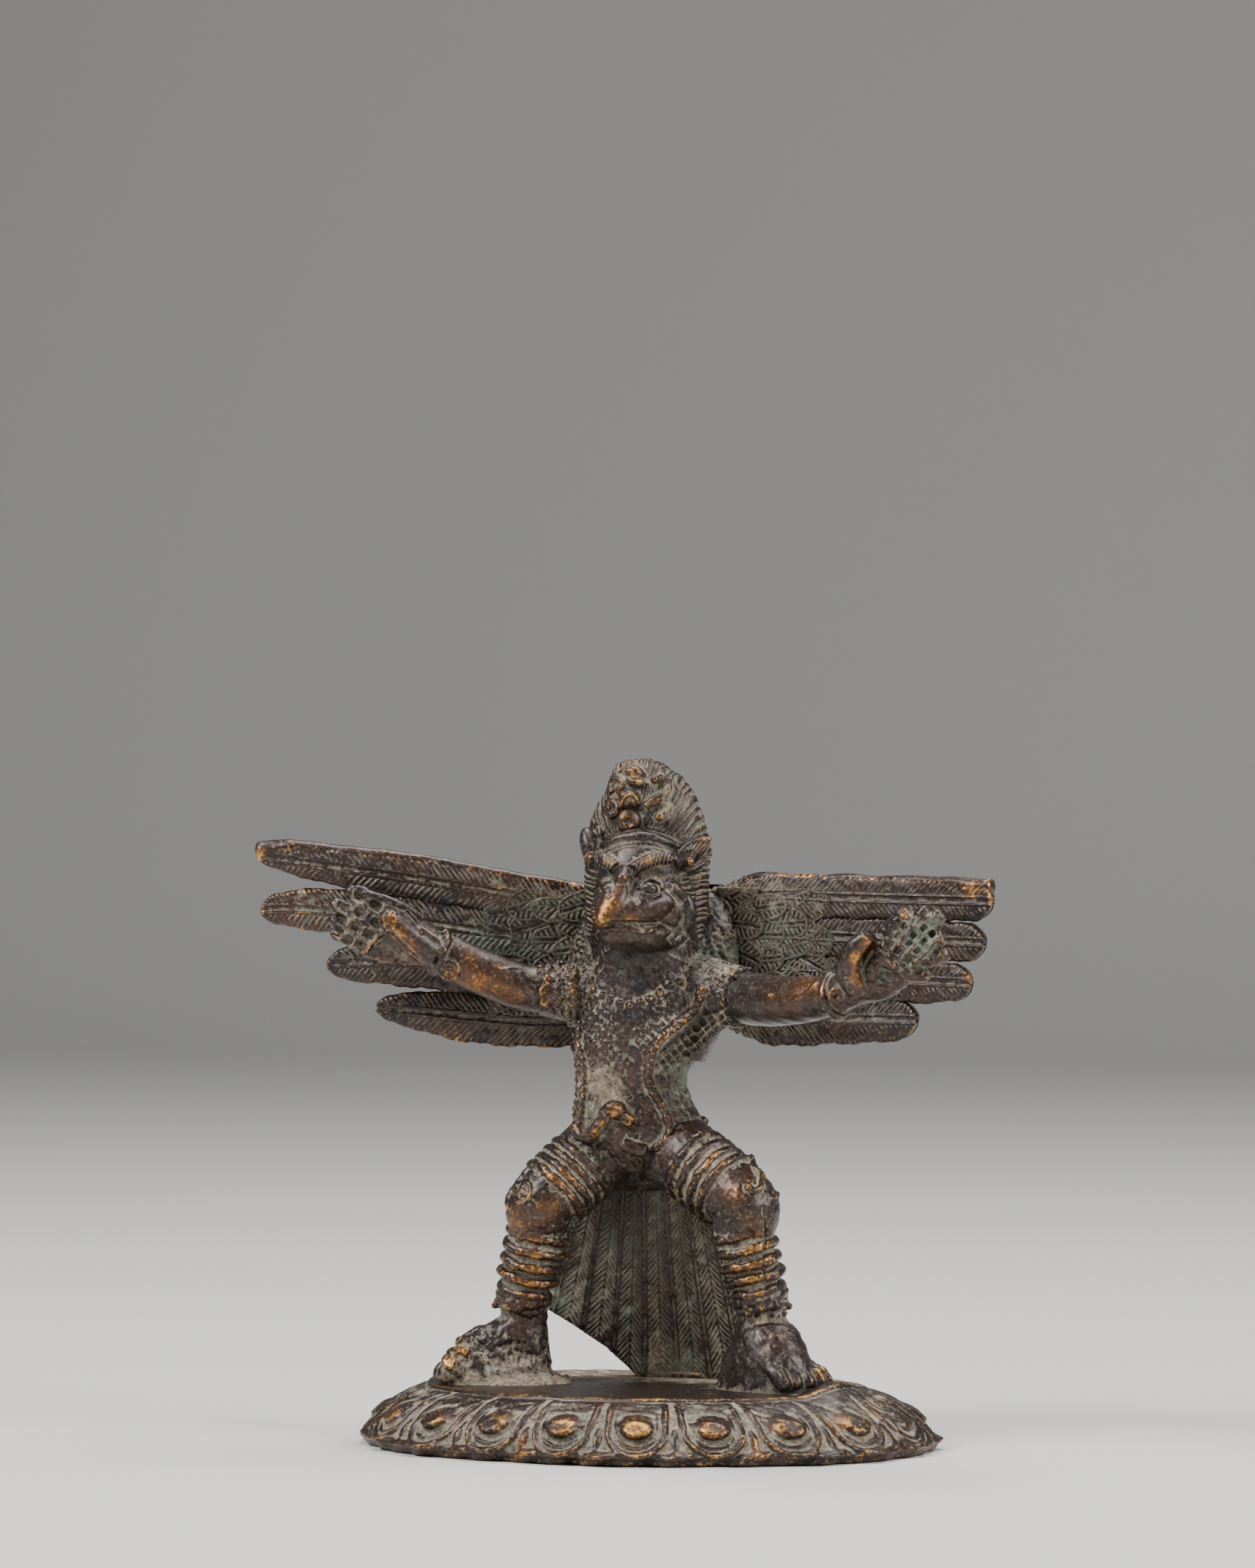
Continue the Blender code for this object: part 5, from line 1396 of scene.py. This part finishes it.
class Value:
    """A number that changes over a surface, as sums on it add their nodes."""

    def __init__(self, finish, socket):
        self.finish = finish
        self.socket = socket

    def __add__(self, other):
        return self.finish.sum("ADD", self, other)

    __radd__ = __add__

    def __sub__(self, other):
        return self.finish.sum("SUBTRACT", self, other)

    def __rsub__(self, other):
        return self.finish.sum("SUBTRACT", other, self)

    def __mul__(self, other):
        return self.finish.sum("MULTIPLY", self, other)

    __rmul__ = __mul__

    def __pow__(self, other):
        return self.finish.sum("POWER", self, other)

    def cosine(self):
        return self.finish.sum("COSINE", self)

    def size(self):
        return self.finish.sum("ABSOLUTE", self)

    def clip(self):
        return self.finish.node("ShaderNodeClamp", {}, {"Value": self})


class Finish:
    """A material and its nodes."""

    def __init__(self, name):
        self.material = bpy.data.materials.new(name)
        self.material.use_nodes = True
        self.tree = self.material.node_tree
        self.shader = self.tree.nodes["Principled BSDF"]

    def put(self, value, socket):
        if isinstance(value, Value):
            self.tree.links.new(value.socket, socket)
        else:
            socket.default_value = value

    def node(self, kind, settings=None, inputs=None, output=0):
        """A node of a kind, its settings first, then its sockets' values or links."""
        node = self.tree.nodes.new(kind)
        for name, value in (settings or {}).items():
            setattr(node, name, value)
        for name, value in (inputs or {}).items():
            self.put(value, node.inputs[name])
        return Value(self, node.outputs[output])

    def sum(self, operation, *values):
        return self.node("ShaderNodeMath", {"operation": operation}, dict(enumerate(values)))

    def mix(self, factor, first, second, blend="MIX"):
        """Colours mixed by a factor. Sockets 6 and 7 are the node's colours, and output 2."""
        return self.node("ShaderNodeMix", {"data_type": "RGBA", "blend_type": blend},
                         {0: factor, 6: first, 7: second}, 2)

    def cloud(self, place, scale, detail=4.0, roughness=0.55, warp=0.0):
        return self.node("ShaderNodeTexNoise", {}, {"Vector": place, "Scale": scale, "Detail": detail,
                                                    "Roughness": roughness, "Distortion": warp}, "Fac")

    def layer(self, name):
        return self.node("ShaderNodeAttribute", {"attribute_name": name}, {}, "Fac")


def bronze():
    finish = Finish("bronze")
    place = finish.node("ShaderNodeTexCoord", {}, {}, "Object")
    ridge = finish.layer("ridge")
    shelter = finish.layer("shelter")
    gold = finish.layer("gold")
    green = finish.layer("green")
    tan = finish.layer("tan")
    shade_and_dark_tone = finish.layer("shade_and_dark_tone")
    turns = finish.layer("strand")
    combed = finish.layer("strand_depth")
    broad = finish.cloud(place, 110.0, 3.0) - 0.5
    patch = finish.cloud(place, 420.0, 5.0, 0.62, 0.5) - 0.5
    speck = finish.cloud(place, 1700.0, 4.0, 0.6) - 0.5
    grit = finish.cloud(place, 4600.0, 3.0, 0.6) - 0.5
    stroke = ((0.5 - 0.5 * (turns * math.tau).cosine()) ** 2.4) * combed.size()
    # How much of each layer lies on the metal, and how much painted shade darkens it
    sunk = (0.0 - ridge).clip()
    raised = ridge.clip()
    lines = combed.size()
    uneven = (patch * 1.5 + speck * 2.2) * (1.0 - lines * 0.55)
    dirt = ((0.10 + sunk * 1.25 + stroke * 1.15 + shelter * 0.35 + tan * 0.85 + green * 0.6 - shade_and_dark_tone * 0.55
             - raised * 0.45 - lines * 0.15 + uneven - 0.40) * 1.5).clip()
    greenish = (0.16 + green * 0.9 + shelter * 0.2 + broad * 3.0 + patch * 2.0 - tan * 0.35).clip()
    worn = ((raised * 0.85 + gold * 1.15 - sunk * 1.1 - tan * 0.3 - shade_and_dark_tone * 0.2 + patch * 2.2 + speck * 3.2
             - 0.70) * 1.5).clip()
    bright = (raised * 0.75 + gold * 0.45 + speck * 3.0 + patch * 1.5 - 0.62).clip()
    # Painted shade: near-black darkening where other parts crowd round, in hollows, and where painted shade
    # was stained on
    deep = (shelter * 0.70 - 0.26 + sunk * 0.35 + shade_and_dark_tone * 0.5 + speck * 0.6).clip()
    # Colours
    metal = finish.mix((broad * 5.0 + 0.45).clip(), srgb(47, 38, 38), srgb(68, 48, 38))
    metal = finish.mix((patch * 4.0 + 0.2).clip(), metal, srgb(31, 26, 26))
    metal = finish.mix((gold * 0.9).clip(), metal, srgb(92, 58, 34))
    metal = finish.mix((speck * 3.5 + 0.05).clip(), metal, srgb(100, 88, 78))
    soil = finish.mix(greenish, srgb(166, 148, 126), srgb(126, 138, 122))
    soil = finish.mix((speck * 5.0 + 0.25).clip(), soil, srgb(104, 94, 82))
    soil = finish.mix((patch * 5.0 - 0.2).clip(), soil, srgb(188, 180, 160))
    brass = finish.mix(bright, srgb(124, 82, 44), srgb(216, 168, 98))
    colour = finish.mix(dirt, metal, soil)
    colour = finish.mix(worn, colour, brass)
    # Painted shade: the colour goes towards near-black by the shade amount above
    colour = finish.mix(deep * 0.85, colour, srgb(20, 17, 16))
    finish.put(colour, finish.shader.inputs["Base Color"])
    rough = 0.38 + dirt * 0.40 + patch * 0.5 + speck * 0.6 - worn * 0.04
    finish.put(rough.clip(), finish.shader.inputs["Roughness"])
    finish.put((0.60 - dirt * 0.60 + worn * 0.35).clip(), finish.shader.inputs["Metallic"])
    finish.put((0.30 - dirt * 0.30).clip(), finish.shader.inputs["Coat Weight"])
    finish.shader.inputs["Coat Roughness"].default_value = 0.34
    skin = grit * (0.35 + dirt * 0.9) + speck * (0.45 + dirt * 1.4) + patch * 0.5 - worn * 0.06
    bump = finish.node("ShaderNodeBump", {}, {"Height": skin, "Strength": 0.7, "Distance": 0.00022}, "Normal")
    finish.put(bump, finish.shader.inputs["Normal"])
    return finish.material


def hand_over(surfaces, material):
    """Give each piece its layers, finish, place in the frame and body."""
    place = Matrix.Diagonal((MM, MM, MM, 1.0))
    shift = Matrix.Translation(Vector((BASE_MIDDLE, 0.0, PLATE_HEIGHT)))
    for skin in surfaces:
        piece = skin.piece
        mesh = piece.data
        for label in ("ridge", "shelter", "gold", "green", "tan", "shade_and_dark_tone", "strand", "strand_depth"):
            layer = mesh.attributes.get(label) or mesh.attributes.new(label, "FLOAT", "POINT")
            layer.data.foreach_set("value", getattr(skin, label).astype(np.float32))
        thin(piece, TRIANGLES[piece.name])
        mesh = piece.data
        mesh.transform(place @ shift)
        mesh.materials.clear()
        mesh.materials.append(material)
        mesh.shade_smooth()
        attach(piece, "root")
        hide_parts("garuda_statue")


# Floor, light and camera
def plain_floor():
    """A pale floor that sweeps up far behind the statue."""
    def shape(across, along):
        run = -1.6 + 4.2 * along
        rise = np.clip((run - 1.4) / 0.6, 0.0, 1.0)
        y = np.minimum(run, 1.4) + 0.6 * np.sin(rise * math.pi / 2.0)
        z = 0.6 * (1.0 - np.cos(rise * math.pi / 2.0)) + np.maximum(run - 2.0, 0.0)
        return np.stack([(across - 0.5) * 5.0, y, z - 0.0002], axis=1)

    floor = sheet(2, 84, shape)
    floor.name = "floor"
    floor.data.shade_smooth()
    finish = Finish("pale_floor")
    finish.shader.inputs["Base Color"].default_value = srgb(206, 204, 200)
    finish.shader.inputs["Roughness"].default_value = 0.85
    floor.data.materials.append(finish.material)


def soft_light(name, place, target, size, watts):
    bpy.ops.object.light_add(type="AREA", location=place)
    light = bpy.context.object
    light.name = name
    light.data.shape = "DISK"
    light.data.size = size
    light.data.energy = watts
    light.rotation_euler = (Vector(target) - Vector(place)).to_track_quat("-Z", "Y").to_euler()


def studio():
    middle = (0.0, 0.0, 0.055)
    soft_light("key", (-0.55, -0.60, 0.80), middle, 0.45, 14.0)
    soft_light("side", (0.75, -0.20, 0.50), middle, 0.35, 7.0)
    soft_light("top", (0.05, 0.20, 0.95), middle, 0.50, 9.0)
    world = bpy.data.worlds.new("studio")
    bpy.context.scene.world = world
    world.use_nodes = True
    world.node_tree.nodes["Background"].inputs["Color"].default_value = srgb(200, 204, 210)
    world.node_tree.nodes["Background"].inputs["Strength"].default_value = 0.28


def camera():
    bpy.ops.object.camera_add()
    eye = bpy.context.object
    eye.location = (EYE + UP * PLATE_HEIGHT) * MM + SIDEWAYS * (BASE_MIDDLE * MM)
    eye.rotation_euler = (math.radians(90.0), 0.0, CAMERA_TURN)
    eye.data.lens = LENS
    eye.data.sensor_width = SENSOR
    eye.data.clip_start = 0.05
    bpy.context.scene.camera = eye


def make():
    surfaces = [head(), body(), right_arm(), left_arm(), legs(), right_wing(), left_wing(), tail(),
                lotus_base()]
    for surface in surfaces:
        measure_relief(surface)
    measure_shelter(surfaces)
    hand_over(surfaces, bronze())
    for pattern in (PATTERN_BALL, PATTERN_BEAD, PATTERN_RING):
        bpy.data.objects.remove(pattern)
    plain_floor()
    studio()
    camera()


make()
